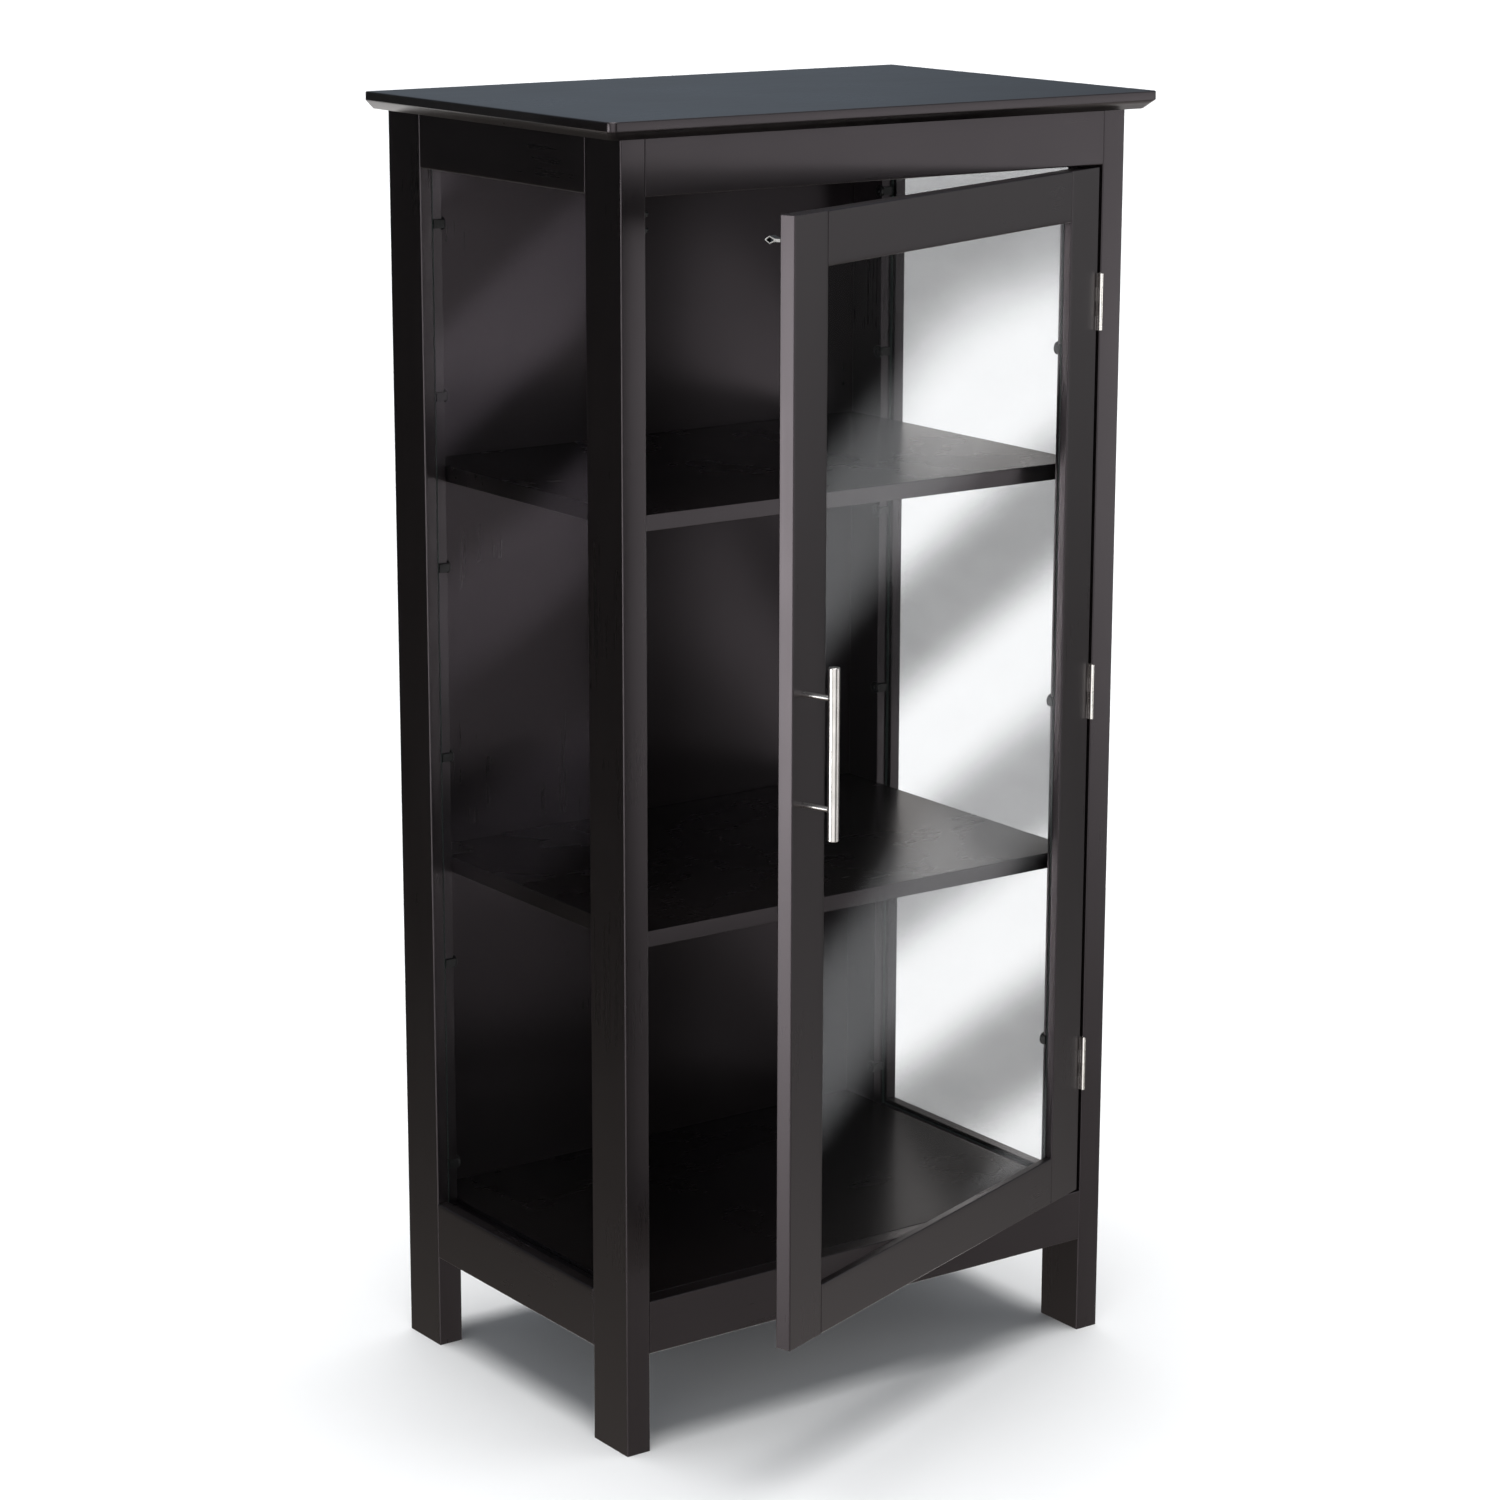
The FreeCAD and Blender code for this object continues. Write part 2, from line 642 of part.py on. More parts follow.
def make_side_clips():
    """Round glass clips on all four posts, each with a foot down to the pane."""
    clips = []
    screws = []
    for side in ("left", "right"):
        face, inward, outward = inner_face(side)
        pane = offset(face, outward, "post_thickness - side_glass_lip - glass_thickness")
        low_x, high_x = (pane, face) if side == "left" else (face, pane)
        for end in ("front", "rear"):
            sign = "+" if end == "front" else "-"
            edge = f"({FRONT} + post_depth - glass_rabbet)"
            if end == "rear":
                edge = f"({BACK} - post_depth + glass_rabbet)"
            line = offset(edge, "-" if sign == "+" else "+", "clip_inset")
            near = offset(edge, sign, "clip_gap")
            far = offset(edge, sign, "clip_radius - clip_inset")
            foot_y = (near, far) if end == "front" else (far, near)
            for height in CLIP_HEIGHTS:
                head = rod("clip_radius", "clip_height", (face, line, height), inward)
                foot = block((low_x, foot_y[0], f"{height} - clip_foot_width / 2"),
                             (high_x, foot_y[1], f"{height} + clip_foot_width / 2"))
                hole = rod("screw_radius", "clip_height", (face, line, height), inward)
                clips.append(remove(join(head, foot), hole))
                top = (offset(face, inward, "clip_height"), line, height)
                screws.append(clip_screw(top, outward))
    group("side_glass_clips", clips)
    group("side_glass_clip_screws", screws)


def clip_screw(at, towards):
    """The screw of one glass clip, its head on the clip."""
    return pan_screw(at, towards, "clip_height + screw_grip", "clip_screw_head_radius")


def make_shelf_pins():
    """Eight spoon-shaped pins, four under each shelf."""
    pins = []
    for side in ("left", "right"):
        face, inward, outward = inner_face(side)
        for end in ("front", "rear"):
            start = FRONT if end == "front" else f"({BACK} - post_depth)"
            line = f"{start} + shelf_pin_line_{end}"
            near, far = face, offset(face, inward, "spoon_length")
            low_x, high_x = (near, far) if side == "left" else (far, near)
            for underside in SHELF_UNDERSIDES:
                neck = (offset(face, inward, "spoon_thickness"), line, f"{underside} - pin_radius")
                peg = rod("pin_radius", "pin_depth + spoon_thickness", neck, outward)
                spoon = block((low_x, f"{line} - spoon_half_width", f"{underside} - spoon_thickness"),
                              (high_x, f"{line} + spoon_half_width", underside))
                pins.append(join(peg, spoon))
    group("shelf_pins", pins)


def make_dowels():
    """Wooden dowels of the side frames and of the cross rails."""
    radius = "dowel_radius - dowel_fit"
    frame_dowels = []
    cross_dowels = []
    for side in ("left", "right"):
        face, inward, _ = inner_face(side)
        middle = offset(face, "-" if inward == "+x" else "+", "post_thickness / 2")
        for seam in (f"{FRONT} + post_depth", f"{BACK} - post_depth"):
            for pair in SIDE_DOWELS.values():
                for height in pair:
                    start = (middle, f"{seam} - dowel_length / 2", height)
                    frame_dowels.append(rod(radius, "dowel_length", start, "+y"))
        for end in ("front", "rear"):
            line = f"{FRONT} + {FRONT_RAIL_LINE}"
            if end == "rear":
                line = f"{BACK} - post_depth + {REAR_RAIL_LINE}"
            for base in (TOP_RAIL_BASE, f"{end}_bottom_rail_base"):
                start = (f"{face} - dowel_length / 2", line, f"{base} + cross_dowel_rise")
                cross_dowels.append(rod(radius, "dowel_length", start, "+x"))
    group("side_frame_dowels", frame_dowels)
    group("cross_rail_dowels", cross_dowels)


def cam_fitting(seam, into_bolt_side, cam_face, cam_depth, cam_height):
    """A cam bolt that stands in one board at seam, and its cam in the other board."""
    along = {"+": "-", "-": "+"}[into_bolt_side[0]] + into_bolt_side[1]
    thread = rod("cam_bolt_radius", "cam_bolt_depth", seam, into_bolt_side)
    neck = rod("cam_bolt_radius", "cam_distance", seam, along)
    head_start = step_back(seam, along, "-(cam_distance - cam_bolt_head_length)")
    head = rod("cam_bolt_head_radius", "cam_bolt_head_length", head_start, along)
    bolt = join(thread, neck, head)
    centre = list(step_back(seam, along, "-cam_distance"))
    axis = "xyz".index(cam_face[1])
    centre[axis] = cam_depth
    cam = rod("cam_radius", cam_height, tuple(centre), cam_face)
    slot_centre = step_back(seam, along, "-(cam_distance - cam_radius)")
    slot = rod("cam_bolt_bore", "cam_radius + cam_bolt_head_length / 2", slot_centre, along)
    return bolt, remove(cam, slot)


def make_cam_fittings():
    """Bolts and cams of the four cross rails, the top panel and the bottom panel."""
    fittings = []
    for end in ("front", "rear"):
        line = f"({FRONT} + {FRONT_RAIL_LINE})"
        hidden = f"({FRONT} + cross_rail_thickness)"
        cam_face = "-y"
        if end == "rear":
            line = f"({BACK} - post_depth + {REAR_RAIL_LINE})"
            hidden = f"({BACK} - back_panel_thickness - cross_rail_thickness)"
            cam_face = "+y"
        for side in ("left", "right"):
            face, _, outward = inner_face(side)
            for base in (TOP_RAIL_BASE, f"{end}_bottom_rail_base"):
                seam = (face, line, f"{base} + cross_bolt_rise")
                fittings.append(cam_fitting(seam, outward, cam_face, hidden, "rail_cam_depth"))
        for across in TOP_BOLT_LINES:
            seam = (f"{INNER_LEFT} + {across}", line, POST_HEIGHT)
            fittings.append(cam_fitting(seam, "+z", cam_face, hidden, "rail_cam_depth"))
    for side in ("left", "right"):
        face, _, outward = inner_face(side)
        for across in BOTTOM_BOLT_LINES:
            seam = (face, f"{FRONT} + post_depth + {across}", PANEL_LINE)
            underside = f"{FRONT_SILL} - bottom_panel_thickness"
            fittings.append(cam_fitting(seam, outward, "+z", underside, "panel_cam_depth"))
    group("cam_bolts", [bolt for bolt, _ in fittings])
    group("cam_locks", [cam for _, cam in fittings])


def make_back_screws():
    """Small round-headed screws through the back panel."""
    screws = []
    for across, up in back_screw_centres():
        at = (f"{INNER_LEFT} - back_panel_rabbet + {across}", BACK, f"rear_bottom_rail_base + {up}")
        screws.append(pan_screw(at, "-y", "back_panel_thickness + screw_grip"))
    group("back_panel_screws", screws)


# ---------------------------------------------------------------- door
def door_board(label, size, x, y, z):
    """A board of the door, placed by its lowest corner with the door shut."""
    body = board(label, size)
    place_on_door(body, x, y, z)
    return body


def make_door_stile(side):
    """An upright of the door frame."""
    body_x = f"{HINGE_EDGE} - door_stile_width" if side == "right" else FREE_EDGE
    body = door_board(f"door_{side}_stile", ("door_stile_width", "door_thickness", DOOR_HEIGHT),
                      body_x, DOOR_FACE, DOOR_BASE)
    step = ("0", "glass_rabbet")
    if side == "left":
        step = ("door_stile_width - glass_rabbet", "door_stile_width")
    low = (step[0], "door_rail_width - glass_rabbet")
    high = (step[1], f"{DOOR_HEIGHT} - door_rail_width + glass_rabbet")
    rabbet(body, "y_high", low, high, "door_thickness - door_glass_lip")
    inward = "x_low" if side == "right" else "x_high"
    rises = list(DOOR_DOWELS) + [f"{DOOR_HEIGHT} - door_rail_width + {rise}" for rise in DOOR_DOWELS]
    dowels = [("door_thickness / 2", rise) for rise in rises]
    drill(body, inward, dowels, "door_dowel_radius", DOWEL_HOLE)
    line = "(glass_rabbet + clip_inset)"
    if side == "left":
        line = f"(door_stile_width - {line})"
    clips = [(line, f"{height} - {DOOR_BASE}") for height in DOOR_CLIP_HEIGHTS]
    drill(body, "y_high", clips, "screw_radius", SCREW_HOLE)
    return body


def make_door_rail(level):
    """A cross piece of the door frame."""
    length = f"({DOOR_WIDTH} - 2 * door_stile_width)"
    base = DOOR_BASE if level == "bottom" else f"{DOOR_BASE} + {DOOR_HEIGHT} - door_rail_width"
    body = door_board(f"door_{level}_rail", (length, "door_thickness", "door_rail_width"),
                      f"{FREE_EDGE} + door_stile_width", DOOR_FACE, base)
    low = ("0", "door_rail_width - glass_rabbet") if level == "bottom" else ("0", "0")
    high = (length, "door_rail_width") if level == "bottom" else (length, "glass_rabbet")
    rabbet(body, "y_high", low, high, "door_thickness - door_glass_lip")
    for face in ("x_low", "x_high"):
        dowels = [("door_thickness / 2", rise) for rise in DOOR_DOWELS]
        drill(body, face, dowels, "door_dowel_radius", DOWEL_HOLE)
    return body


def make_door_glass():
    """The pane of the door."""
    width = f"({DOOR_WIDTH} - 2 * door_stile_width + 2 * glass_overlap)"
    height = f"({DOOR_HEIGHT} - 2 * door_rail_width + 2 * glass_overlap)"
    return door_board("door_glass", (width, "glass_thickness", height),
                      f"{FREE_EDGE} + door_stile_width - glass_overlap",
                      f"{DOOR_FACE} + door_glass_lip",
                      f"{DOOR_BASE} + door_rail_width - glass_overlap")


def make_door_clips():
    """Three round glass clips on each door stile, and their screws."""
    pane = f"{DOOR_FACE} + door_glass_lip + glass_thickness"
    clips = []
    screws = []
    for edge, sign in ((f"({HINGE_EDGE} - door_stile_width + glass_rabbet)", "-"),
                       (f"({FREE_EDGE} + door_stile_width - glass_rabbet)", "+")):
        line = offset(edge, "+" if sign == "-" else "-", "clip_inset")
        near = offset(edge, sign, "clip_gap")
        far = offset(edge, sign, "clip_radius - clip_inset")
        foot_x = (far, near) if sign == "-" else (near, far)
        for height in DOOR_CLIP_HEIGHTS:
            head = rod("clip_radius", "clip_height", (line, DOOR_REAR, height), "+y")
            foot = block((foot_x[0], pane, f"{height} - clip_foot_width / 2"),
                         (foot_x[1], DOOR_REAR, f"{height} + clip_foot_width / 2"))
            hole = rod("screw_radius", "clip_height", (line, DOOR_REAR, height), "+y")
            clips.append(remove(join(head, foot), hole))
            top = (line, f"{DOOR_REAR} + clip_height", height)
            screws.append(clip_screw(top, "-y"))
    place_on_door(group("door_glass_clips", clips))
    place_on_door(group("door_glass_clip_screws", screws))


def make_door_dowels():
    """Dowels between the door's rails and stiles."""
    dowels = []
    middle = f"{DOOR_FACE} + door_thickness / 2"
    for seam in (f"({FREE_EDGE} + door_stile_width)", f"({HINGE_EDGE} - door_stile_width)"):
        for base in (DOOR_BASE, f"({DOOR_BASE} + {DOOR_HEIGHT} - door_rail_width)"):
            for rise in DOOR_DOWELS:
                start = (f"{seam} - dowel_length / 2", middle, f"{base} + {rise}")
                dowels.append(rod("door_dowel_radius - dowel_fit", "dowel_length", start, "+x"))
    place_on_door(group("door_dowels", dowels))


# ---------------------------------------------------------------- hinges
def hinge_screw_points(z):
    """The two screws of one leaf, at the leaf's face, from the hinge axis."""
    return [("hinge_screw_back", f"{z} {sign} hinge_screw_spread") for sign in ("-", "+")]


def make_leaf(label, z, sign, segments, bore, on_door):
    """A hinge leaf with its rolled knuckles; sign is + on the cabinet and - on the door."""
    near = f"{sign} (door_gap / 2 - leaf_thickness)"
    far = f"{sign} door_gap / 2"
    low_x, high_x = (near, far) if sign == "+" else (far, near)
    bottom = f"{z} - hinge_length / 2"
    pitch = "(hinge_length / 4)"
    pieces = [block((low_x, "knuckle_radius + leaf_relief", bottom),
                    (high_x, "leaf_width", f"{z} + hinge_length / 2"))]
    for segment in segments:
        start = f"{bottom} + {segment} * {pitch} + knuckle_play / 2"
        end = f"{bottom} + {segment + 1} * {pitch} - knuckle_play / 2"
        pieces.append(block((low_x, "0", start), (high_x, "knuckle_radius + leaf_relief", end)))
        pieces.append(rod("knuckle_radius", f"{pitch} - knuckle_play", ("0", "0", start), "+z"))
    tools = [rod(bore, "hinge_length", ("0", "0", bottom), "+z")]
    into_wood = "+x" if sign == "+" else "-x"
    for back, up in hinge_screw_points(z):
        tools.append(rod("hinge_screw_head_radius", "leaf_thickness", (near, back, up), into_wood,
                         end_radius="screw_radius"))
    leaf = keep(remove(join(*pieces), *tools), label)
    if on_door:
        place_on_door(leaf)
    else:
        place(leaf, AXIS_X, AXIS_Y, "0")


def countersunk_screw(at, towards, length):
    """A flat-headed screw that fills the countersink of a leaf."""
    head = rod("hinge_screw_head_radius", "leaf_thickness", at, towards, end_radius="screw_radius")
    tip = step_back(at, towards, "-leaf_thickness")
    return join(head, rod("screw_radius", length, tip, towards))


def make_hinges():
    """Three butt hinges of four knuckles each, their pins and their screws."""
    cabinet_screws = []
    door_screws = []
    pins = []
    for level, z in HINGE_CENTRES.items():
        make_leaf(f"{level}_hinge_cabinet_leaf", z, "+", (1, 3), "hinge_pin_radius", on_door=False)
        make_leaf(f"{level}_hinge_door_leaf", z, "-", (0, 2),
                  "hinge_pin_radius + running_clearance", on_door=True)
        pins.append(rod("hinge_pin_radius", "hinge_length", ("0", "0", f"{z} - hinge_length / 2"), "+z"))
        for back, up in hinge_screw_points(z):
            on_post = ("door_gap / 2 - leaf_thickness", back, up)
            cabinet_screws.append(countersunk_screw(on_post, "+x", "hinge_screw_length"))
            on_stile = ("leaf_thickness - door_gap / 2", back, up)
            door_screws.append(countersunk_screw(on_stile, "-x", "hinge_screw_length"))
    place(group("hinge_pins", pins), AXIS_X, AXIS_Y, "0")
    place(group("hinge_cabinet_screws", cabinet_screws), AXIS_X, AXIS_Y, "0")
    place_on_door(group("hinge_door_screws", door_screws))

    centres = [point for z in HINGE_CENTRES.values() for point in hinge_screw_points(z)]
    in_post = [(f"{back} - hinge_axis_forward", up) for back, up in centres]
    drill(nodes["front_right_post"], "x_low", in_post, "screw_radius", HINGE_SCREW_HOLE)
    in_stile = [(f"{back} - {DOOR_FACE}", f"{up} - {DOOR_BASE}") for back, up in centres]
    drill(nodes["door_right_stile"], "x_high", in_stile, "screw_radius", HINGE_SCREW_HOLE)


# ---------------------------------------------------------------- handle
def make_handle():
    """A bar on two posts, screwed on from behind the free stile."""
    x = f"({FREE_EDGE} + handle_edge_distance)"
    bar_y = f"({DOOR_FACE} - handle_reach)"
    ends = [f"(handle_centre_height {sign} handle_spacing / 2)" for sign in ("-", "+")]
    bar_start = (x, bar_y, "handle_centre_height - handle_length / 2")
    bar = rod("handle_radius", "handle_length", bar_start, "+z")
    reach = "(handle_reach - handle_radius + handle_post_socket)"
    sockets = [rod("handle_post_radius", reach, (x, DOOR_FACE, end), "-y") for end in ends]
    place_on_door(keep(remove(bar, *sockets), "handle_bar"))

    posts = []
    screws = []
    for end in ends:
        post = rod("handle_post_radius", reach, (x, DOOR_FACE, end), "-y")
        threaded = rod("screw_radius", "handle_screw_grip + hole_clearance", (x, DOOR_FACE, end), "-y")
        posts.append(remove(post, threaded))
        screws.append(pan_screw((x, DOOR_REAR, end), "-y", "door_thickness + handle_screw_grip",
                                head_height="screw_head_height"))
    place_on_door(group("handle_posts", posts))
    place_on_door(group("handle_screws", screws))
    holes = [("handle_edge_distance", f"{end} - {DOOR_BASE}") for end in ends]
    drill(nodes["door_left_stile"], "y_low", holes, "screw_radius", "door_thickness")


# ---------------------------------------------------------------- roller catch
CATCH_FACE = INNER_LEFT
ROLLER_LINE = f"({FRONT} + roller_depth)"
PIVOT_LINE = f"({FRONT} + arm_pivot_depth)"
CATCH_MIDDLE = f"({INNER_LEFT} + catch_lift)"
ROLLER_OFFSET = "(roller_half_gap + roller_radius)"
ARM_OUTSIDE = f"({ROLLER_OFFSET} + arm_nose_radius)"
SPRING_ENDS = "(2 * spring_wire_radius + 2 * spring_play)"
SPRING_RISE = f"(case_half_height - case_metal - {ARM_OUTSIDE} - {SPRING_ENDS})"


def make_catch_housing():
    """The folded case that is screwed to the left front post, open towards the door."""
    outer = f"({CATCH_FACE} + case_height_from_post)"
    rear = f"({FRONT} + case_rear)"
    mouth = f"({rear} - case_depth)"
    bottom, top = "(catch_height - case_half_height)", "(catch_height + case_half_height)"
    plate = block((CATCH_FACE, f"{rear} - case_plate_length", bottom),
                  (f"{CATCH_FACE} + case_metal", rear, top))
    cover = block((f"{outer} - case_metal", mouth, bottom), (outer, rear, top))
    end = block((CATCH_FACE, f"{rear} - case_metal", bottom), (outer, rear, top))
    floor = block((CATCH_FACE, mouth, bottom), (outer, rear, f"{bottom} + case_metal"))
    roof = block((CATCH_FACE, mouth, f"{top} - case_metal"), (outer, rear, top))
    tools = [rod("catch_pin_radius", "case_height_from_post", at, "+x") for at in catch_pivots()]
    for depth in CATCH_SCREW_DEPTHS:
        at = (CATCH_FACE, f"{FRONT} + {depth}", "catch_height")
        tools.append(rod("screw_radius", "case_height_from_post", at, "+x"))
    keep(remove(join(plate, cover, end, floor, roof), *tools), "catch_housing")
    holes = [(depth, "catch_height") for depth in CATCH_SCREW_DEPTHS]
    drill(nodes["front_left_post"], "x_high", holes, "screw_radius", SCREW_HOLE)


def catch_pivots():
    """Where the two pivot pins start, at the post's face."""
    return [(CATCH_FACE, PIVOT_LINE, f"catch_height {sign} arm_pivot_offset") for sign in ("-", "+")]


def make_catch_arm(level):
    """A forked arm with its roller and the roller's pin, at rest against its stop."""
    sign = "+" if level == "upper" else "-"
    pivot_z = f"(catch_height {sign} arm_pivot_offset)"
    roller_z = f"(catch_height {sign} {ROLLER_OFFSET})"
    low_x = f"({CATCH_MIDDLE} - arm_width / 2)"
    high_x = f"({CATCH_MIDDLE} + arm_width / 2)"
    boss = rod("arm_radius", "arm_width", (low_x, PIVOT_LINE, pivot_z), "+x")
    nose = rod("arm_nose_radius", "arm_width", (low_x, ROLLER_LINE, roller_z), "+x")
    web = block((low_x, ROLLER_LINE, f"{roller_z} - arm_nose_radius"),
                (high_x, PIVOT_LINE, f"{roller_z} + arm_nose_radius"))
    slot_low = (f"{CATCH_MIDDLE} - roller_length / 2 - roller_play",
                f"{ROLLER_LINE} - roller_radius - hole_clearance",
                f"{roller_z} - roller_radius - hole_clearance")
    slot_high = (f"{CATCH_MIDDLE} + roller_length / 2 + roller_play",
                 f"{ROLLER_LINE} + roller_radius + 2 * roller_play",
                 f"{roller_z} + roller_radius + hole_clearance")
    slot = block(slot_low, slot_high)
    pivot_at = (low_x, PIVOT_LINE, pivot_z)
    pivot_hole = rod("catch_pin_radius + running_clearance", "arm_width", pivot_at, "+x")
    pin_hole = rod("roller_pin_radius", "arm_width", (low_x, ROLLER_LINE, roller_z), "+x")
    keep(remove(join(boss, nose, web), slot, pivot_hole, pin_hole), f"catch_{level}_arm")
    roller_pin = rod("roller_pin_radius", "arm_width", (low_x, ROLLER_LINE, roller_z), "+x")
    keep(roller_pin, f"catch_{level}_roller_pin")
    start = (f"{CATCH_MIDDLE} - roller_length / 2", ROLLER_LINE, roller_z)
    roller = rod("roller_radius", "roller_length", start, "+x")
    bore = rod("roller_pin_radius + running_clearance", "roller_length", start, "+x")
    keep(remove(roller, bore), f"catch_{level}_roller")


def make_catch_spring(level):
    """A coil spring between the case and the outer side of an arm."""
    wire = doc.addObject("Part::Circle", "spring_wire")
    wire.setExpression("Radius", formula("spring_wire_radius"))
    wire.setExpression("Placement.Base.x", formula("spring_radius"))
    wire.Placement.Rotation = FreeCAD.Rotation(*TURNS["+y"])
    coil = doc.addObject("Part::Helix", "spring_coil")
    coil.setExpression("Radius", formula("spring_radius"))
    coil.setExpression("Height", formula(SPRING_RISE))
    coil.setExpression("Pitch", formula(f"{SPRING_RISE} / spring_turns"))
    doc.recompute()
    spring = doc.addObject("Part::Sweep", "spring")
    spring.Sections = [wire]
    spring.Spine = (coil, [f"Edge{number}" for number in range(1, len(coil.Shape.Edges) + 1)])
    spring.Solid = True
    spring.Frenet = True
    start = f"catch_height + {ARM_OUTSIDE} + spring_wire_radius + spring_play"
    if level == "lower":
        start = f"catch_height - {ARM_OUTSIDE} - spring_wire_radius - spring_play - {SPRING_RISE}"
    place(spring, CATCH_MIDDLE, f"{PIVOT_LINE} - spring_lever", start)
    keep(spring, f"catch_{level}_spring")


def make_catch():
    """A double roller catch and the spear-shaped strike on the door."""
    make_catch_housing()
    for level in ("upper", "lower"):
        make_catch_arm(level)
        make_catch_spring(level)
    pivots = [rod("catch_pin_radius", "case_height_from_post", at, "+x") for at in catch_pivots()]
    group("catch_pivot_pins", pivots)
    screws = []
    for depth in CATCH_SCREW_DEPTHS:
        at = (f"{CATCH_FACE} + case_metal", f"{FRONT} + {depth}", "catch_height")
        screws.append(pan_screw(at, "-x", "case_metal + screw_grip", "clip_screw_head_radius"))
    group("catch_screws", screws)
    make_strike()


def make_strike():
    """A strip bent into a hollow spear, on a small plate with two screws."""
    body = doc.addObject("PartDesign::Body", "catch_strike")
    sketch = new_sketch(body, "YZ_Plane")
    upper_outside = [
        ("0", "strike_half_height"),
        ("strike_metal", "strike_half_height"),
        ("strike_metal", "strike_neck_half"),
        ("strike_neck", "strike_neck_half"),
        ("strike_shoulder", "strike_head_half"),
        ("strike_reach", "strike_metal / 2"),
    ]
    upper_inside = [
        ("strike_neck + strike_metal", "strike_metal / 2"),
        ("strike_shoulder", "strike_head_half - strike_metal"),
        ("strike_reach - 2 * strike_metal", "strike_metal / 2"),
    ]
    for upper in (upper_outside, upper_inside):
        polygon(sketch, upper + [(across, f"-({up})") for across, up in reversed(upper)])
    pad = body.newObject("PartDesign::Pad", "strike_pad")
    pad.Profile = sketch
    pad.Midplane = True
    pad.setExpression("Length", formula("strike_width"))
    plate_holes = new_sketch(body, "XZ_Plane")
    for sign in ("-", ""):
        circle(plate_holes, ("0", f"{sign}strike_screw_spread"), "screw_radius")
    pocket = body.newObject("PartDesign::Pocket", "strike_holes")
    pocket.Profile = plate_holes
    pocket.setExpression("Length", formula("strike_metal"))
    x = f"({FREE_EDGE} + strike_edge_distance)"
    place_on_door(keep(body, "catch_strike"), x, DOOR_REAR, "catch_height")

    heights = [f"catch_height {sign} strike_screw_spread" for sign in ("-", "+")]
    screws = []
    for height in heights:
        at = (x, f"{DOOR_REAR} + strike_metal", height)
        screws.append(pan_screw(at, "-y", "strike_metal + screw_grip", "strike_screw_head_radius"))
    place_on_door(group("catch_strike_screws", screws))
    holes = [("strike_edge_distance", f"{height} - {DOOR_BASE}") for height in heights]
    drill(nodes["door_left_stile"], "y_high", holes, "screw_radius", SCREW_HOLE)


# ---------------------------------------------------------------- build
make_top_panel()
for side_name in ("left", "right"):
    for end_name in ("front", "rear"):
        make_post(side_name, end_name)
    for level_name in ("top", "bottom"):
        make_side_rail(side_name, level_name)
    make_side_glass(side_name)
make_side_clips()
for end_name in ("front", "rear"):
    for level_name in ("top", "bottom"):
        make_cross_rail(end_name, level_name)
make_bottom_panel()
make_back_panel()
drill_rear_rails_for_back_screws()
make_shelf("upper")
make_shelf("lower")
make_shelf_pins()
make_dowels()
make_cam_fittings()
make_back_screws()

for side_name in ("left", "right"):
    make_door_stile(side_name)
for level_name in ("top", "bottom"):
    make_door_rail(level_name)
make_door_glass()
make_door_clips()
make_door_dowels()
make_hinges()
make_handle()
make_catch()
doc.recompute()

# ---------------------------------------------------------------- check and write
for item in doc.Objects:
    if "Invalid" in item.State or "Error" in item.State:
        raise RuntimeError(f"{item.Label} failed: {item.State}")
    if item.TypeId == "PartDesign::Pocket":
        removed = item.BaseFeature.Shape.Volume - item.Shape.Volume
        if removed < TOLERANCE:
            raise RuntimeError(f"{item.Label} cuts nothing")
for label, piece in nodes.items():
    if piece.Shape.isNull() or not piece.Shape.isValid():
        raise RuntimeError(f"{label} has no valid shape")

os.makedirs("parts", exist_ok=True)
for label, piece in nodes.items():
    piece.Shape.exportStep(f"parts/{label}.step")
print(f"{len(nodes)} sub-parts written")
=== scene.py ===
import json
import math

import bmesh
import bpy
from mathutils import Matrix, Vector

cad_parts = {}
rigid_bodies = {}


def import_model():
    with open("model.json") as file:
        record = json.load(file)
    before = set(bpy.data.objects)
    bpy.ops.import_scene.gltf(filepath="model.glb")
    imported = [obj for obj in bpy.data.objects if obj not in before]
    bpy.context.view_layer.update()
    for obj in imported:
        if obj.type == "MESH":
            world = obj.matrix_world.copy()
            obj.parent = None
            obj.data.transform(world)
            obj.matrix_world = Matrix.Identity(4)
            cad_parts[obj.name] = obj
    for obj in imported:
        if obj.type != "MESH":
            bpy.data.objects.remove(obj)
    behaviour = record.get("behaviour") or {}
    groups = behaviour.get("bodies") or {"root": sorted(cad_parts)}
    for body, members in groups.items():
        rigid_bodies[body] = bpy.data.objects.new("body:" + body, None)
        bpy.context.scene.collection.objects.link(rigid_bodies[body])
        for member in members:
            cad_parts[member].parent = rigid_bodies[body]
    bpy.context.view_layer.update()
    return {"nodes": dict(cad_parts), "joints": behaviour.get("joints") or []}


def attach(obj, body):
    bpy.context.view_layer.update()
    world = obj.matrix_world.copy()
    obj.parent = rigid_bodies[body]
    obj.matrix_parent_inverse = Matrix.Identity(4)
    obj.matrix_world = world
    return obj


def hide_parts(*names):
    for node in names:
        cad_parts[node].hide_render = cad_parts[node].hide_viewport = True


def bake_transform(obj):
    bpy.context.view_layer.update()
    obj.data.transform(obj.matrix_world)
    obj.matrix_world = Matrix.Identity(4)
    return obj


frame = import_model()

nodes = frame["nodes"]

# ---------------------------------------------------------------- where the door stands
hinge = next(joint for joint in frame["joints"] if joint["name"] == "door_hinge")
AJAR = -math.radians(hinge["range_deg"][0])
CABINET = Matrix.Identity(4)
DOOR = Matrix.Translation((hinge["pos_m"][0], hinge["pos_m"][1], 0)) @ Matrix.Rotation(AJAR, 4, "Z")

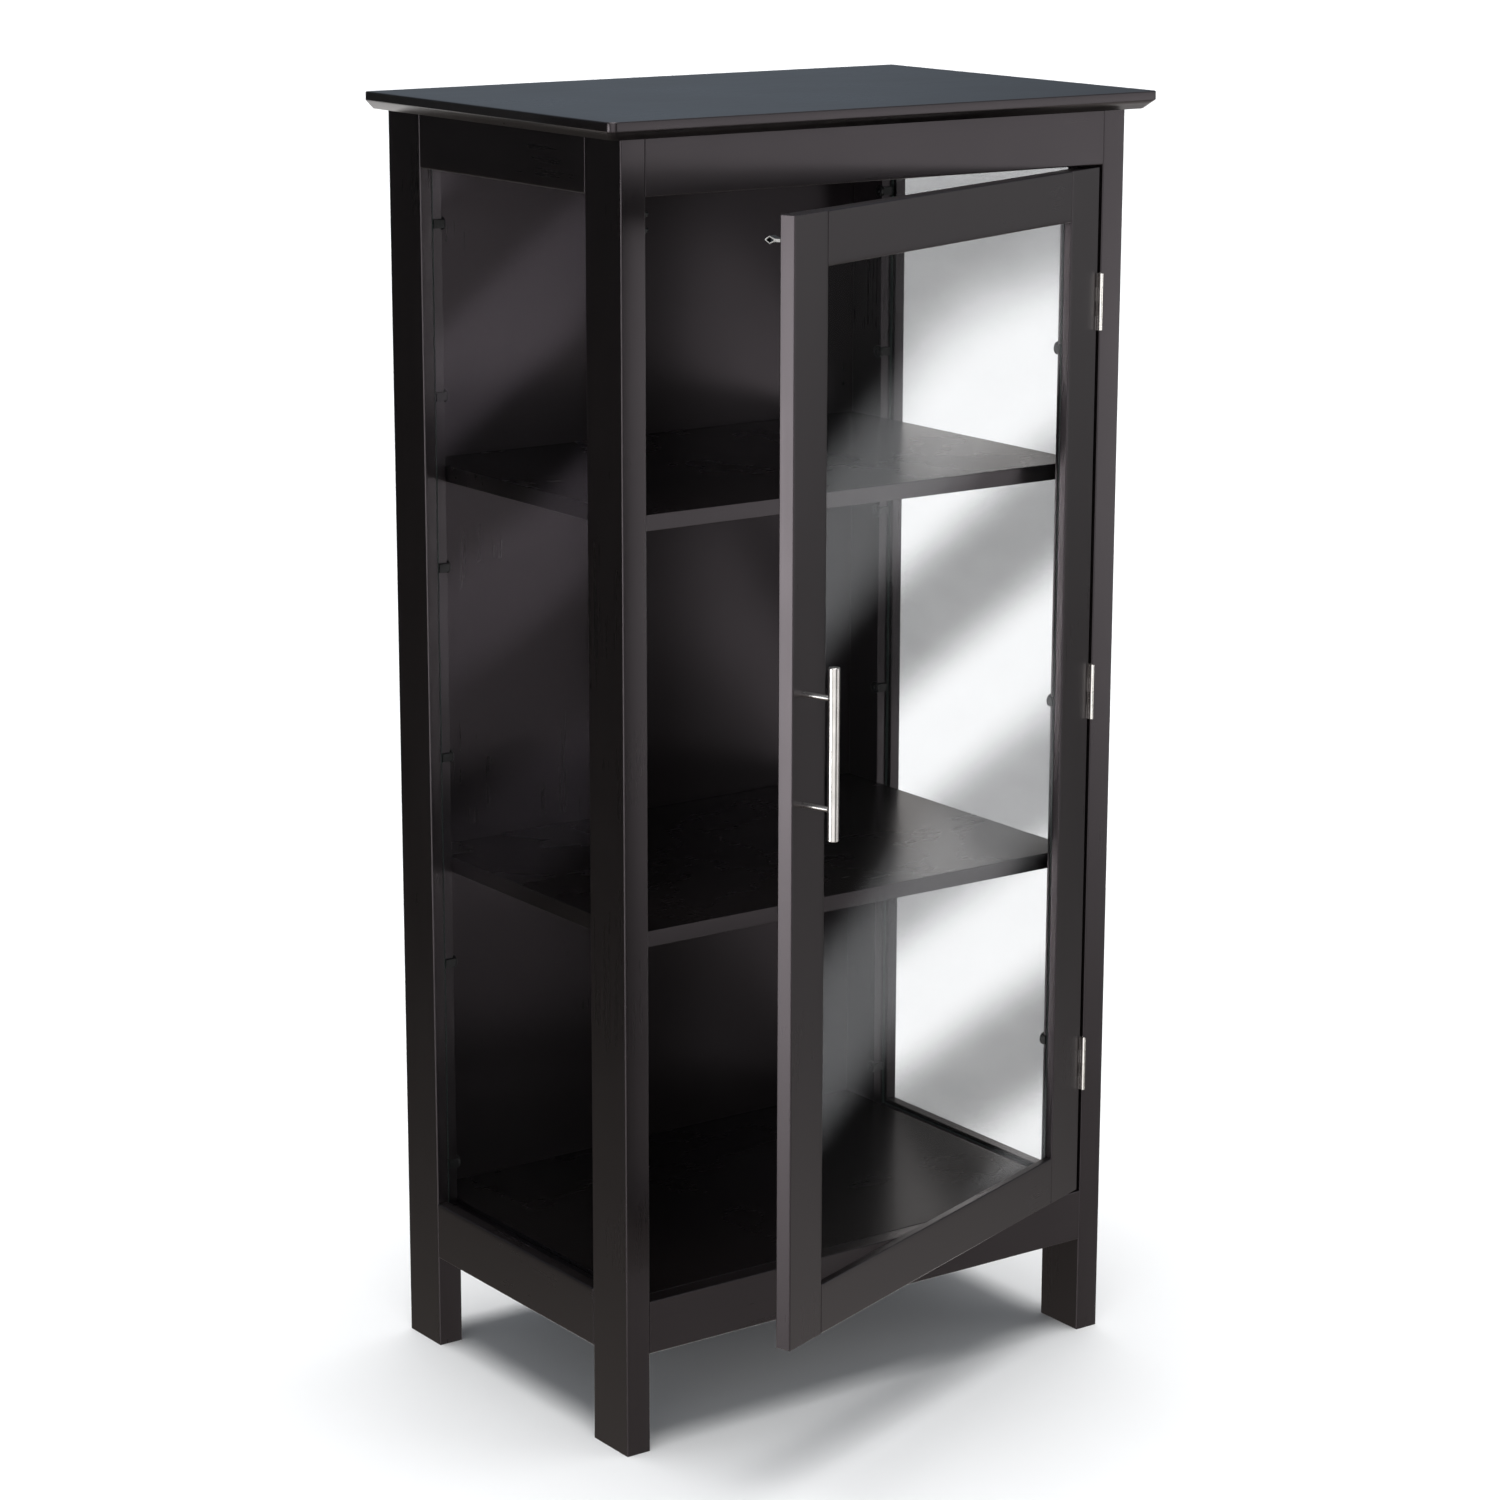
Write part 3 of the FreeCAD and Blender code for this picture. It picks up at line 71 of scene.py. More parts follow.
MM = 0.001
ARRIS = 1.2 * MM
PANEL_ARRIS = 0.7 * MM
END_SHARE = 0.35
AXES = {"x": 0, "y": 1, "z": 2}


def local_box(node, place=CABINET):
    """The lowest and highest corners of a CAD node, in the axes of the door or of the cabinet."""
    back = place.inverted()
    points = [back @ vertex.co for vertex in nodes[node].data.vertices]
    low = Vector([min(point[axis] for point in points) for axis in range(3)])
    high = Vector([max(point[axis] for point in points) for axis in range(3)])
    return low, high


def solid_boxes(node, place=CABINET):
    """The box of each separate solid of a grouped CAD node, in a fixed order."""
    mesh = nodes[node].data
    back = place.inverted()
    parent = list(range(len(mesh.vertices)))

    def root(index):
        while parent[index] != index:
            parent[index] = parent[parent[index]]
            index = parent[index]
        return index

    seen = {}
    for vertex in mesh.vertices:
        key = tuple(round(value, 6) for value in vertex.co)
        parent[root(vertex.index)] = root(seen.setdefault(key, vertex.index))
    for edge in mesh.edges:
        parent[root(edge.vertices[0])] = root(edge.vertices[1])
    groups = {}
    for vertex in mesh.vertices:
        groups.setdefault(root(vertex.index), []).append(back @ vertex.co)
    boxes = []
    for points in groups.values():
        low = Vector([min(point[axis] for point in points) for axis in range(3)])
        high = Vector([max(point[axis] for point in points) for axis in range(3)])
        boxes.append((low, high))
    return sorted(boxes, key=lambda box: tuple(round(value, 4) for value in box[0]))


# ---------------------------------------------------------------- materials
class Nodes:
    """A short way to write the node tree of a material or of the world."""

    def __init__(self, name, world=False):
        self.material = (bpy.data.worlds if world else bpy.data.materials).new(name)
        self.material.use_nodes = True
        self.tree = self.material.node_tree
        self.tree.nodes.clear()
        self.output = self.add("ShaderNodeOutputWorld" if world else "ShaderNodeOutputMaterial")

    def add(self, kind, inputs=None, **settings):
        node = self.tree.nodes.new(kind)
        for key, value in settings.items():
            setattr(node, key, value)
        for key, value in (inputs or {}).items():
            if isinstance(value, bpy.types.NodeSocket):
                self.tree.links.new(value, node.inputs[key])
            else:
                node.inputs[key].default_value = value
        return node

    def shader(self, socket):
        self.tree.links.new(socket, self.output.inputs["Surface"])
        return self.material

    def calc(self, operation, *values):
        """A Math node; each value is a number or another node's output."""
        return self.add("ShaderNodeMath", dict(enumerate(values)), operation=operation).outputs[0]

    def mixed(self, factor, first, second):
        """Mix two shaders."""
        return self.add("ShaderNodeMixShader", {0: factor, 1: first, 2: second}).outputs[0]

    def place(self, scale):
        """Object coordinates, stretched by scale."""
        where = self.add("ShaderNodeTexCoord").outputs["Object"]
        return self.add("ShaderNodeMapping", {"Vector": where, "Scale": scale}).outputs[0]

    def noise(self, vector, detail=2.0, rough=0.5, seed=0.0, vary=False):
        """Noise that differs from piece to piece when vary is set."""
        noise = self.add("ShaderNodeTexNoise", {
            "Vector": vector, "Scale": 1.0, "Detail": detail, "Roughness": rough, "W": seed},
            noise_dimensions="4D")
        if vary:
            random = self.add("ShaderNodeObjectInfo").outputs["Random"]
            spread = self.calc("MULTIPLY_ADD", random, 50.0, seed)
            self.tree.links.new(spread, noise.inputs["W"])
        return noise.outputs[0]

    def span(self, value, low, high, from_low=0.35, from_high=0.65):
        """Spread a noise over a range."""
        return self.add("ShaderNodeMapRange", {
            "Value": value, "From Min": from_low, "From Max": from_high,
            "To Min": low, "To Max": high}).outputs[0]

    def blend(self, factor, first, second):
        """Mix two colours."""
        mix = self.add("ShaderNodeMix", data_type="RGBA")
        self.tree.links.new(factor, mix.inputs["Factor"])
        for socket, colour in ((mix.inputs[6], first), (mix.inputs[7], second)):
            if isinstance(colour, bpy.types.NodeSocket):
                self.tree.links.new(colour, socket)
            else:
                socket.default_value = (*colour, 1)
        return mix.outputs[2]

    def mirror_share(self, head_on=0.04):
        """How much a thin pane mirrors, the same from both of its sides."""
        facing = self.add("ShaderNodeLayerWeight", {"Blend": 0.5}).outputs["Facing"]
        steep = self.calc("POWER", facing, 5.0)
        return self.calc("MULTIPLY_ADD", steep, 1 - head_on, head_on)

    def bump(self, height, distance, normal=None):
        """Relief of that depth, on top of another relief if normal is given."""
        inputs = {"Height": height, "Distance": distance, "Strength": 1.0}
        if normal is not None:
            inputs["Normal"] = normal
        return self.add("ShaderNodeBump", inputs).outputs[0]


def lacquer(name, grain, gloss, figuring, coat=0.2, ior=1.5):
    """Espresso stain under satin lacquer.

    grain is the axis along the board, gloss the roughness and figuring how far the figure shows.
    """
    made = Nodes(name)
    along = AXES[grain]
    figure_scale = [210.0] * 3
    figure_scale[along] = 7.0
    pore_scale = [1500.0] * 3
    pore_scale[along] = 28.0
    figure = made.noise(made.place(figure_scale), detail=5, rough=0.6, vary=True)
    cloud = made.noise(made.place((9, 9, 9)), detail=3, seed=3.0, vary=True)
    fine = made.noise(made.place(pore_scale), detail=3, rough=0.7, seed=7.0, vary=True)
    orange = made.noise(made.place((170, 170, 170)), detail=1, seed=5.0)
    stain = made.span(figure, 0.5 - 0.5 * figuring, 0.5 + 0.5 * figuring)
    base = made.blend(stain, WOOD_DARK, WOOD_LIGHT)
    shade = made.span(cloud, 0.94, 1.06)
    hue = made.add("ShaderNodeHueSaturation", {"Color": base, "Value": shade})
    uneven = 0.02 * figuring
    rough = made.calc("ADD", made.span(figure, gloss - uneven, gloss + uneven),
                      made.span(cloud, -0.015, 0.015))
    normal = made.bump(fine, 0.005 * MM * figuring)
    normal = made.bump(figure, 0.002 * MM * figuring, normal=normal)
    normal = made.bump(orange, 0.004 * MM * figuring, normal=normal)
    shader = made.add("ShaderNodeBsdfPrincipled", {
        "Base Color": hue.outputs[0], "Roughness": rough, "Normal": normal, "IOR": ior,
        "Specular Tint": LACQUER_TINT, "Coat Weight": coat, "Coat Roughness": 0.22, "Coat IOR": 1.45})
    return made.shader(shader.outputs[0])


def moulded(name, dark, light, gloss):
    """Moulded plastic with a faint leathery skin."""
    made = Nodes(name)
    skin = made.noise(made.place((1400, 1400, 1400)), detail=2)
    cloud = made.noise(made.place((60, 60, 60)), detail=2, seed=2.0, vary=True)
    base = made.blend(made.span(cloud, 0, 1), dark, light)
    shader = made.add("ShaderNodeBsdfPrincipled", {
        "Base Color": base, "Roughness": made.span(skin, gloss - 0.06, gloss + 0.06),
        "Normal": made.bump(skin, 0.02 * MM), "IOR": 1.48})
    return made.shader(shader.outputs[0])


def metal(name, dark, light, gloss, brushed=None, grit=900.0):
    """Plated or brushed metal; brushed is the axis that the fine scratches run along."""
    made = Nodes(name)
    scale = [grit] * 3
    if brushed is not None:
        scale = [2600.0] * 3
        scale[AXES[brushed]] = 22.0
    lines = made.noise(made.place(scale), detail=4, rough=0.65)
    cloud = made.noise(made.place((45, 45, 45)), detail=3, seed=4.0, vary=True)
    base = made.blend(made.span(cloud, 0, 1), dark, light)
    shader = made.add("ShaderNodeBsdfPrincipled", {
        "Base Color": base, "Metallic": 1.0,
        "Roughness": made.span(lines, gloss - 0.07, gloss + 0.07),
        "Normal": made.bump(lines, (0.012 if brushed else 0.006) * MM)})
    return made.shader(shader.outputs[0])


def dowel_wood():
    """Raw beech, turned and fluted along X or Y."""
    made = Nodes("beech_dowel")
    fleck = made.noise(made.place((260, 260, 900)), detail=4, vary=True)
    base = made.blend(made.span(fleck, 0, 1), (0.38, 0.24, 0.12), (0.55, 0.38, 0.21))
    shader = made.add("ShaderNodeBsdfPrincipled", {
        "Base Color": base, "Roughness": made.span(fleck, 0.55, 0.75),
        "Normal": made.bump(fleck, 0.05 * MM)})
    return made.shader(shader.outputs[0])


def pane_material(name, across, lean, period, level, sheen_density, tint, edge, fade=None, fan=None):
    """Clear glass crossed by soft slanting bands of painted sheen: a painted reflection, laid on the pane
    as a diffuse film in its own axes.

    across is the pane's level axis, lean the climb of a band for each metre along it, period the height
    between two bands, level the height of one of them where the pane's own axes start, sheen_density how
    dense a band of painted sheen is and tint its colour. edge is where on the wave a band starts and is
    full. fade gives two
    heights: below the first there is no painted sheen, above the second all of it. fan spreads the bands
    above
    a height: by a share of the rise above it, and by more of it for each metre across the pane.
    """
    made = Nodes(name)
    split = made.add("ShaderNodeSeparateXYZ", {"Vector": made.place((1, 1, 1))})
    wobble = made.noise(made.place((2.2, 2.2, 2.2)), detail=1)
    height = made.calc("MULTIPLY_ADD", wobble, 0.06 * period, split.outputs["Z"])
    height = made.calc("MULTIPLY_ADD", split.outputs[across], -lean, height)
    if fan is not None:
        start, share, wider = fan
        above = made.calc("MAXIMUM", made.calc("ADD", split.outputs["Z"], -start), 0.0)
        spread = made.calc("MULTIPLY_ADD", split.outputs[across], -wider, -share)
        height = made.calc("MULTIPLY_ADD", above, spread, height)
    turn = 2 * math.pi / period
    wave = made.calc("COSINE", made.calc("MULTIPLY_ADD", height, turn, -turn * (level + 0.03 * period)))
    band = made.add("ShaderNodeMapRange", {
        "Value": wave, "From Min": edge[0], "From Max": edge[1], "To Min": 0.0, "To Max": sheen_density},
        interpolation_type="SMOOTHSTEP").outputs[0]
    sheen_unevenness = made.span(made.noise(made.place((16, 16, 40)), detail=3, seed=1.0), 0.98, 1.02)
    dense = made.calc("MULTIPLY", band, sheen_unevenness)
    if fade is not None:
        kept = made.span(split.outputs["Z"], 0.0, 1.0, fade[0], fade[1])
        dense = made.calc("MULTIPLY", dense, kept)
    # Painted sheen: a diffuse film of this colour, mixed over the clear glass in slanting bands, stands in
    # for reflections on the pane.
    painted_sheen_film = made.add("ShaderNodeBsdfDiffuse", {"Color": (*tint, 1)})
    clear = made.add("ShaderNodeBsdfTransparent", {"Color": PANE_TINT})
    gloss = made.add("ShaderNodeBsdfGlossy", {"Color": PANE_MIRROR, "Roughness": 0.02})
    clear_with_painted_sheen = made.mixed(dense, clear.outputs[0], painted_sheen_film.outputs[0])
    return made.shader(made.mixed(made.mirror_share(), clear_with_painted_sheen, gloss.outputs[0]))


def clear_face():
    """The second face of a pane: it lets everything through but a faint mirror image."""
    made = Nodes("glass_far_face")
    ripple = made.noise(made.place((7, 7, 7)), detail=1)
    clear = made.add("ShaderNodeBsdfTransparent", {"Color": PANE_TINT})
    mirror = made.add("ShaderNodeBsdfGlossy", {"Color": PANE_MIRROR,
                                               "Roughness": made.span(ripple, 0.015, 0.03)})
    return made.shader(made.mixed(made.mirror_share(0.03), clear.outputs[0], mirror.outputs[0]))


def glass_rim():
    """The ground, greenish rim of a pane."""
    made = Nodes("glass_rim")
    grind = made.noise(made.place((900, 900, 900)), detail=2)
    base = made.blend(made.span(grind, 0, 1), (0.02, 0.035, 0.03), (0.035, 0.05, 0.045))
    shader = made.add("ShaderNodeBsdfPrincipled", {
        "Base Color": base, "Roughness": made.span(grind, 0.25, 0.5), "IOR": 1.5,
        "Normal": made.bump(grind, 0.02 * MM)})
    return made.shader(shader.outputs[0])


LACQUER_TINT = (1.0, 0.86, 0.94, 1)
PANE_TINT = (0.99, 0.99, 0.99, 1)
PANE_MIRROR = (0.08, 0.082, 0.084, 1)
WOOD_DARK, WOOD_LIGHT = (0.0044, 0.0036, 0.0035), (0.0066, 0.0052, 0.0050)
WOOD = {grain: lacquer(f"lacquer_{grain}", grain, 0.29, 0.5) for grain in "xyz"}
PANEL = {"x": lacquer("panel_x", "x", 0.27, 0.1, coat=0.0, ior=1.25),
         "z": lacquer("panel_z", "z", 0.29, 0.1, coat=0.0, ior=1.46)}
BLACK_PLASTIC = moulded("black_plastic", (0.006, 0.006, 0.006), (0.012, 0.012, 0.012), 0.42)
NYLON = moulded("black_nylon", (0.008, 0.008, 0.008), (0.014, 0.014, 0.014), 0.38)
BLACK_STEEL = metal("blackened_steel", (0.030, 0.030, 0.032), (0.055, 0.055, 0.058), 0.38)
ZINC = metal("zinc_plated_steel", (0.52, 0.53, 0.55), (0.64, 0.65, 0.67), 0.32)
ZINC_CAST = metal("zinc_alloy", (0.40, 0.41, 0.43), (0.52, 0.53, 0.55), 0.45, grit=500.0)
NICKEL = metal("nickel_plated_steel", (0.80, 0.77, 0.73), (0.90, 0.87, 0.83), 0.22)
STEEL = metal("spring_steel", (0.11, 0.108, 0.105), (0.17, 0.168, 0.165), 0.30)
BRUSHED = metal("brushed_steel", (0.52, 0.50, 0.48), (0.66, 0.64, 0.62), 0.27, brushed="z")
BEECH = dowel_wood()
GLASS_RIM = glass_rim()
GLASS_FAR = clear_face()


# ---------------------------------------------------------------- mesh helpers
SHARP = math.radians(40)


def finish_piece(name, mesh_or_bm, materials, body, place=CABINET, stands_for=()):
    """Make a piece from a mesh in local axes, set it in place and hang it on its body, if any."""
    mesh = mesh_or_bm
    if isinstance(mesh_or_bm, bmesh.types.BMesh):
        mesh = bpy.data.meshes.new(name)
        bmesh.ops.recalc_face_normals(mesh_or_bm, faces=mesh_or_bm.faces)
        mesh_or_bm.to_mesh(mesh)
        mesh_or_bm.free()
    for material in materials:
        mesh.materials.append(material)
    piece = bpy.data.objects.new(name, mesh)
    bpy.context.scene.collection.objects.link(piece)
    mesh.shade_smooth()
    weighted = piece.modifiers.new("weighted", "WEIGHTED_NORMAL")
    weighted.keep_sharp = True
    piece.matrix_world = place
    if body is not None:
        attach(piece, body)
    if stands_for:
        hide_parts(*stands_for)
    return piece


def ease(bm, width, segments=2):
    """Round every outer edge that is sharp."""
    edges = [edge for edge in bm.edges
             if len(edge.link_faces) == 2 and edge.calc_face_angle_signed(0) > SHARP]
    bmesh.ops.bevel(bm, geom=edges, offset=width, segments=segments, profile=0.5,
                    affect="EDGES", clamp_overlap=True)


def mark_arrises(bm, along):
    """Give each outer edge its share of the easing: all of it along the grain, less across the ends."""
    share = bm.edges.layers.float.new("bevel_weight_edge")
    for edge in bm.edges:
        if len(edge.link_faces) == 2 and edge.calc_face_angle_signed(0) > SHARP:
            run = (edge.verts[1].co - edge.verts[0].co).normalized()
            edge[share] = 1.0 if abs(run[along]) > 0.9 else END_SHARE


def block_with_cuts(low, high, cuts):
    """A closed block less some boxes, made of the faces between its filled and its empty cells."""
    lines = []
    for axis in range(3):
        marks = {round(low[axis], 6), round(high[axis], 6)}
        for cut_low, cut_high in cuts:
            for value in (cut_low[axis], cut_high[axis]):
                if low[axis] + 1e-5 < value < high[axis] - 1e-5:
                    marks.add(round(value, 6))
        lines.append(sorted(marks))

    def filled(cell):
        if any(index < 0 or index >= len(lines[axis]) - 1 for axis, index in enumerate(cell)):
            return False
        middle = [(lines[axis][index] + lines[axis][index + 1]) / 2 for axis, index in enumerate(cell)]
        return not any(all(cut_low[axis] < middle[axis] < cut_high[axis] for axis in range(3))
                       for cut_low, cut_high in cuts)

    bm = bmesh.new()
    corners = {}

    def corner(indices):
        if indices not in corners:
            corners[indices] = bm.verts.new([lines[axis][index] for axis, index in enumerate(indices)])
        return corners[indices]

    counts = [len(line) - 1 for line in lines]
    for i in range(counts[0]):
        for j in range(counts[1]):
            for k in range(counts[2]):
                cell = (i, j, k)
                if not filled(cell):
                    continue
                for axis in range(3):
                    for step in (-1, 1):
                        beside = list(cell)
                        beside[axis] += step
                        if filled(tuple(beside)):
                            continue
                        level = cell[axis] + (1 if step > 0 else 0)
                        u, v = [other for other in range(3) if other != axis]
                        ring = []
                        for du, dv in ((0, 0), (1, 0), (1, 1), (0, 1)):
                            indices = [0, 0, 0]
                            indices[axis] = level
                            indices[u] = cell[u] + du
                            indices[v] = cell[v] + dv
                            ring.append(corner(tuple(indices)))
                        bm.faces.new(ring)
    bmesh.ops.recalc_face_normals(bm, faces=bm.faces)
    return bm


def lathe(bm, profile, centre, axis, steps=32):
    """Turn a profile of (radius, height) points about an axis through centre."""
    turn = Vector((0, 0, 1)).rotation_difference(axis).to_matrix()
    rings = []
    for radius, height in profile:
        if radius < 1e-7:
            rings.append([bm.verts.new(centre + turn @ Vector((0, 0, height)))])
            continue
        ring = []
        for step in range(steps):
            angle = 2 * math.pi * step / steps
            at = Vector((radius * math.cos(angle), radius * math.sin(angle), height))
            ring.append(bm.verts.new(centre + turn @ at))
        rings.append(ring)
    for below, above in zip(rings, rings[1:]):
        for step in range(steps):
            following = (step + 1) % steps
            if len(below) == 1:
                bm.faces.new((below[0], above[following], above[step]))
            elif len(above) == 1:
                bm.faces.new((below[step], below[following], above[0]))
            else:
                bm.faces.new((below[step], below[following], above[following], above[step]))
    for ring, flip in ((rings[0], True), (rings[-1], False)):
        if len(ring) > 1:
            bm.faces.new(list(reversed(ring)) if flip else ring)


def cross_outline(reach, half):
    """The outline of a cross whose arms reach out from its middle."""
    quarter = [(reach, -half), (reach, half), (half, half)]
    outline = []
    for turns in range(4):
        for x, y in quarter:
            for _ in range(turns):
                x, y = -y, x
            outline.append((x, y))
    return outline


def cut_recess(profile, reach, depth, slimness=0.24, steps=32):
    """A turned head with a tapering cross cut into its top; its axis is +Z, its underside at zero."""
    scene_objects = bpy.context.scene.collection.objects
    top = max(height for _, height in profile)
    head = bmesh.new()
    lathe(head, profile, Vector(), Vector((0, 0, 1)), steps)
    cutter = bmesh.new()
    outline = cross_outline(reach, reach * slimness)
    upper = [cutter.verts.new((x, y, top + depth)) for x, y in outline]
    lower = [cutter.verts.new((x * 0.6, y * 0.7, top - depth)) for x, y in outline]
    for step in range(len(outline)):
        following = (step + 1) % len(outline)
        cutter.faces.new((lower[step], lower[following], upper[following], upper[step]))
    cutter.faces.new(upper)
    cutter.faces.new(list(reversed(lower)))
    made = []
    for name, bm in (("recess_head", head), ("recess_cutter", cutter)):
        bmesh.ops.recalc_face_normals(bm, faces=bm.faces)
        mesh = bpy.data.meshes.new(name)
        bm.to_mesh(mesh)
        bm.free()
        item = bpy.data.objects.new(name, mesh)
        scene_objects.link(item)
        made.append(item)
    cut = made[0].modifiers.new("cross", "BOOLEAN")
    cut.operation = "DIFFERENCE"
    cut.solver = "EXACT"
    cut.object = made[1]
    bpy.context.view_layer.update()
    evaluated = made[0].evaluated_get(bpy.context.evaluated_depsgraph_get())
    result = bpy.data.meshes.new_from_object(evaluated)
    for item in made:
        bpy.data.objects.remove(item)
    return result


def stamp(bm, template, centre, axis):
    """Add a copy of a template mesh, its +Z turned to axis."""
    turn = Vector((0, 0, 1)).rotation_difference(axis).to_matrix().to_4x4()
    copy = template.copy()
    copy.transform(Matrix.Translation(centre) @ turn)
    bm.from_mesh(copy)
    bpy.data.meshes.remove(copy)


# ---------------------------------------------------------------- boards
GLASS_PLAY = 1 * MM
FAR = 2.0


def pane_rabbet(pane, place, towards):
    """The room that a pane's rabbet takes, open towards one side."""
    low, high = local_box(pane, place)
    axis = AXES[towards[1]]
    for other in range(3):
        if other != axis:
            low[other] -= GLASS_PLAY
            high[other] += GLASS_PLAY
    if towards[0] == "+":
        high[axis] = FAR
    else:
        low[axis] = -FAR
    return low, high


def wooden_board(node, grain, body="cabinet", place=CABINET, cuts=(), panel=False):
    """A board with eased arrises and its rabbets, in place of the CAD's.

    A panel has its own finish on its two faces and the boards' on its edges.
    """
    low, high = local_box(node, place)
    bm = block_with_cuts(low, high, list(cuts))
    mark_arrises(bm, AXES[grain])
    materials = [WOOD[grain]]
    if panel:
        materials = [PANEL[grain], WOOD[grain]]
        thin = min(range(3), key=lambda axis: high[axis] - low[axis])
        for face in bm.faces:
            face.material_index = 0 if abs(face.normal[thin]) > 0.5 else 1
    board = finish_piece(f"{node}_board", bm, materials, body, place, [node])
    easing = board.modifiers.new("easing", "BEVEL")
    easing.limit_method = "WEIGHT"
    easing.width = PANEL_ARRIS if panel else ARRIS
    easing.segments = 3
    easing.use_clamp_overlap = True
    board.modifiers.move(1, 0)


def carcass_boards():
    back_low, back_high = local_box("back_panel")
    back_cut = (back_low, Vector((back_high.x, FAR, FAR)))
    for side, towards in (("left", "+x"), ("right", "-x")):
        cut = pane_rabbet(f"{side}_glass", CABINET, towards)
        wooden_board(f"front_{side}_post", "z", cuts=[cut])
        wooden_board(f"rear_{side}_post", "z", cuts=[cut, back_cut])
        for level in ("top", "bottom"):
            wooden_board(f"{side}_{level}_rail", "y", cuts=[cut])
    for end in ("front", "rear"):
        for level in ("top", "bottom"):
            wooden_board(f"{end}_{level}_rail", "x")
    for node in ("bottom_panel", "upper_shelf", "lower_shelf"):
        wooden_board(node, "x", panel=True)
    wooden_board("back_panel", "z", panel=True)


def door_boards():
    cut = pane_rabbet("door_glass", DOOR, "+y")
    for side in ("left", "right"):
        wooden_board(f"door_{side}_stile", "z", "door", DOOR, [cut])
    for level in ("top", "bottom"):
        wooden_board(f"door_{level}_rail", "x", "door", DOOR, [cut])


def top_board():
    """The top panel: a square edge over a 45 degree chamfer, with rounded front corners."""
    low, high = local_box("top_panel")
    chamfer = (high.z - low.z) / 2
    corner = 7 * MM
    round_over = 1.2 * MM
    levels = [(low.z, chamfer, 0)]
    levels.append((low.z + chamfer * 0.94, chamfer * 0.06, 0))
    levels.append((low.z + chamfer * 1.04, 0, 0))
    for step in range(5):
        angle = math.pi / 2 * step / 4
        inset = round_over * (1 - math.cos(angle))
        levels.append((high.z - round_over * (1 - math.sin(angle)), inset, inset))
    bm = bmesh.new()
    rings = []
    for z, front_inset, back_inset in levels:
        left, right = low.x + front_inset, high.x - front_inset
        front, back = low.y + front_inset, high.y - back_inset
        outline = [(left, back)]
        for centre_x, start in ((left + corner, math.pi), (right - corner, 1.5 * math.pi)):
            for step in range(9):
                angle = start + math.pi / 2 * step / 8
                outline.append((centre_x + corner * math.cos(angle),
                                front + corner * (1 + math.sin(angle))))
        outline.append((right, back))
        rings.append([bm.verts.new((x, y, z)) for x, y in outline])
    count = len(rings[0])
    for below, above in zip(rings, rings[1:]):
        for step in range(count):
            following = (step + 1) % count
            bm.faces.new((below[step], below[following], above[following], above[step]))
    bm.faces.new(list(reversed(rings[0])))
    bm.faces.new(rings[-1])
    finish_piece("top_panel_board", bm, [WOOD["x"]], "cabinet", CABINET,
                 ["top_panel"])


# ---------------------------------------------------------------- glass
def pane(node, body, place, outward, face_material):
    """A sheet of glass with ground arrises, its painted sheen bands on the outward face."""
    low, high = local_box(node, place)
    bm = block_with_cuts(low, high, [])
    ease(bm, 0.35 * MM, 1)
    axis = AXES[outward[1]]
    sign = 1 if outward[0] == "+" else -1
    bmesh.ops.recalc_face_normals(bm, faces=bm.faces)
    for face in bm.faces:
        along = face.normal[axis] * sign
        face.material_index = 0 if along > 0.99 else 1 if along < -0.99 else 2
    finish_piece(f"{node}_pane", bm, [face_material, GLASS_FAR, GLASS_RIM], body,
                 place, [node])


def glazing():
    # Each pane's bands are painted sheen, a painted reflection: lighter over the dark inside on the left
    # and door panes, grey over the white beyond on the right pane.
    side = pane_material("glass_left", across="Y", lean=-0.60, period=0.23, level=1.065, sheen_density=0.07,
                         tint=(0.42, 0.36, 0.41), edge=(-0.55, 0.75), fade=(0.40, 0.95))
    right = pane_material("glass_right", across="Y", lean=-0.72, period=0.262, level=0.795, sheen_density=0.64,
                          tint=(0.05, 0.05, 0.05), edge=(-0.85, 1.0), fan=(0.80, 0.11, 2.1))
    door = pane_material("glass_door", across="X", lean=0.50, period=0.43, level=1.06, sheen_density=0.13,
                         tint=(0.85, 0.85, 0.86), edge=(-0.1, 1.0))
    pane("left_glass", "cabinet", CABINET, "-x", side)
    pane("right_glass", "cabinet", CABINET, "+x", right)
    pane("door_glass", "door", DOOR, "-y", door)


# ---------------------------------------------------------------- screws and other small hardware
HEAD_RADIUS = 2.8 * MM
HEAD_HEIGHT = 1.2 * MM
SHANK = 1.45 * MM
POINT = 2 * MM
PAN_HEAD = cut_recess(
    [(0, 0), (HEAD_RADIUS, 0), (HEAD_RADIUS, 0.25 * MM), (2.5 * MM, 0.7 * MM), (1.8 * MM, 1.05 * MM),
     (0.9 * MM, 1.18 * MM), (0, HEAD_HEIGHT)], reach=1.35 * MM, depth=0.8 * MM)
FLAT_HEAD_RADIUS = 2.3 * MM
FLAT_HEAD_HEIGHT = 0.8 * MM
FLAT_HEAD = cut_recess(
    [(0, 0), (1.5 * MM, 0), (2.26 * MM, 0.76 * MM), (2.2 * MM, FLAT_HEAD_HEIGHT), (0, FLAT_HEAD_HEIGHT)],
    reach=1.2 * MM, depth=0.55 * MM)
COUNTERSUNK = 1.8 * MM
CAM_RADIUS = 7.5 * MM
CAM_HEIGHT = 12 * MM
CAM = cut_recess(
    [(0, 0), (7.1 * MM, 0), (CAM_RADIUS, 0.4 * MM), (CAM_RADIUS, 11.5 * MM), (7.0 * MM, CAM_HEIGHT),
     (0, CAM_HEIGHT)], reach=3.6 * MM, depth=2.2 * MM, slimness=0.22, steps=48)


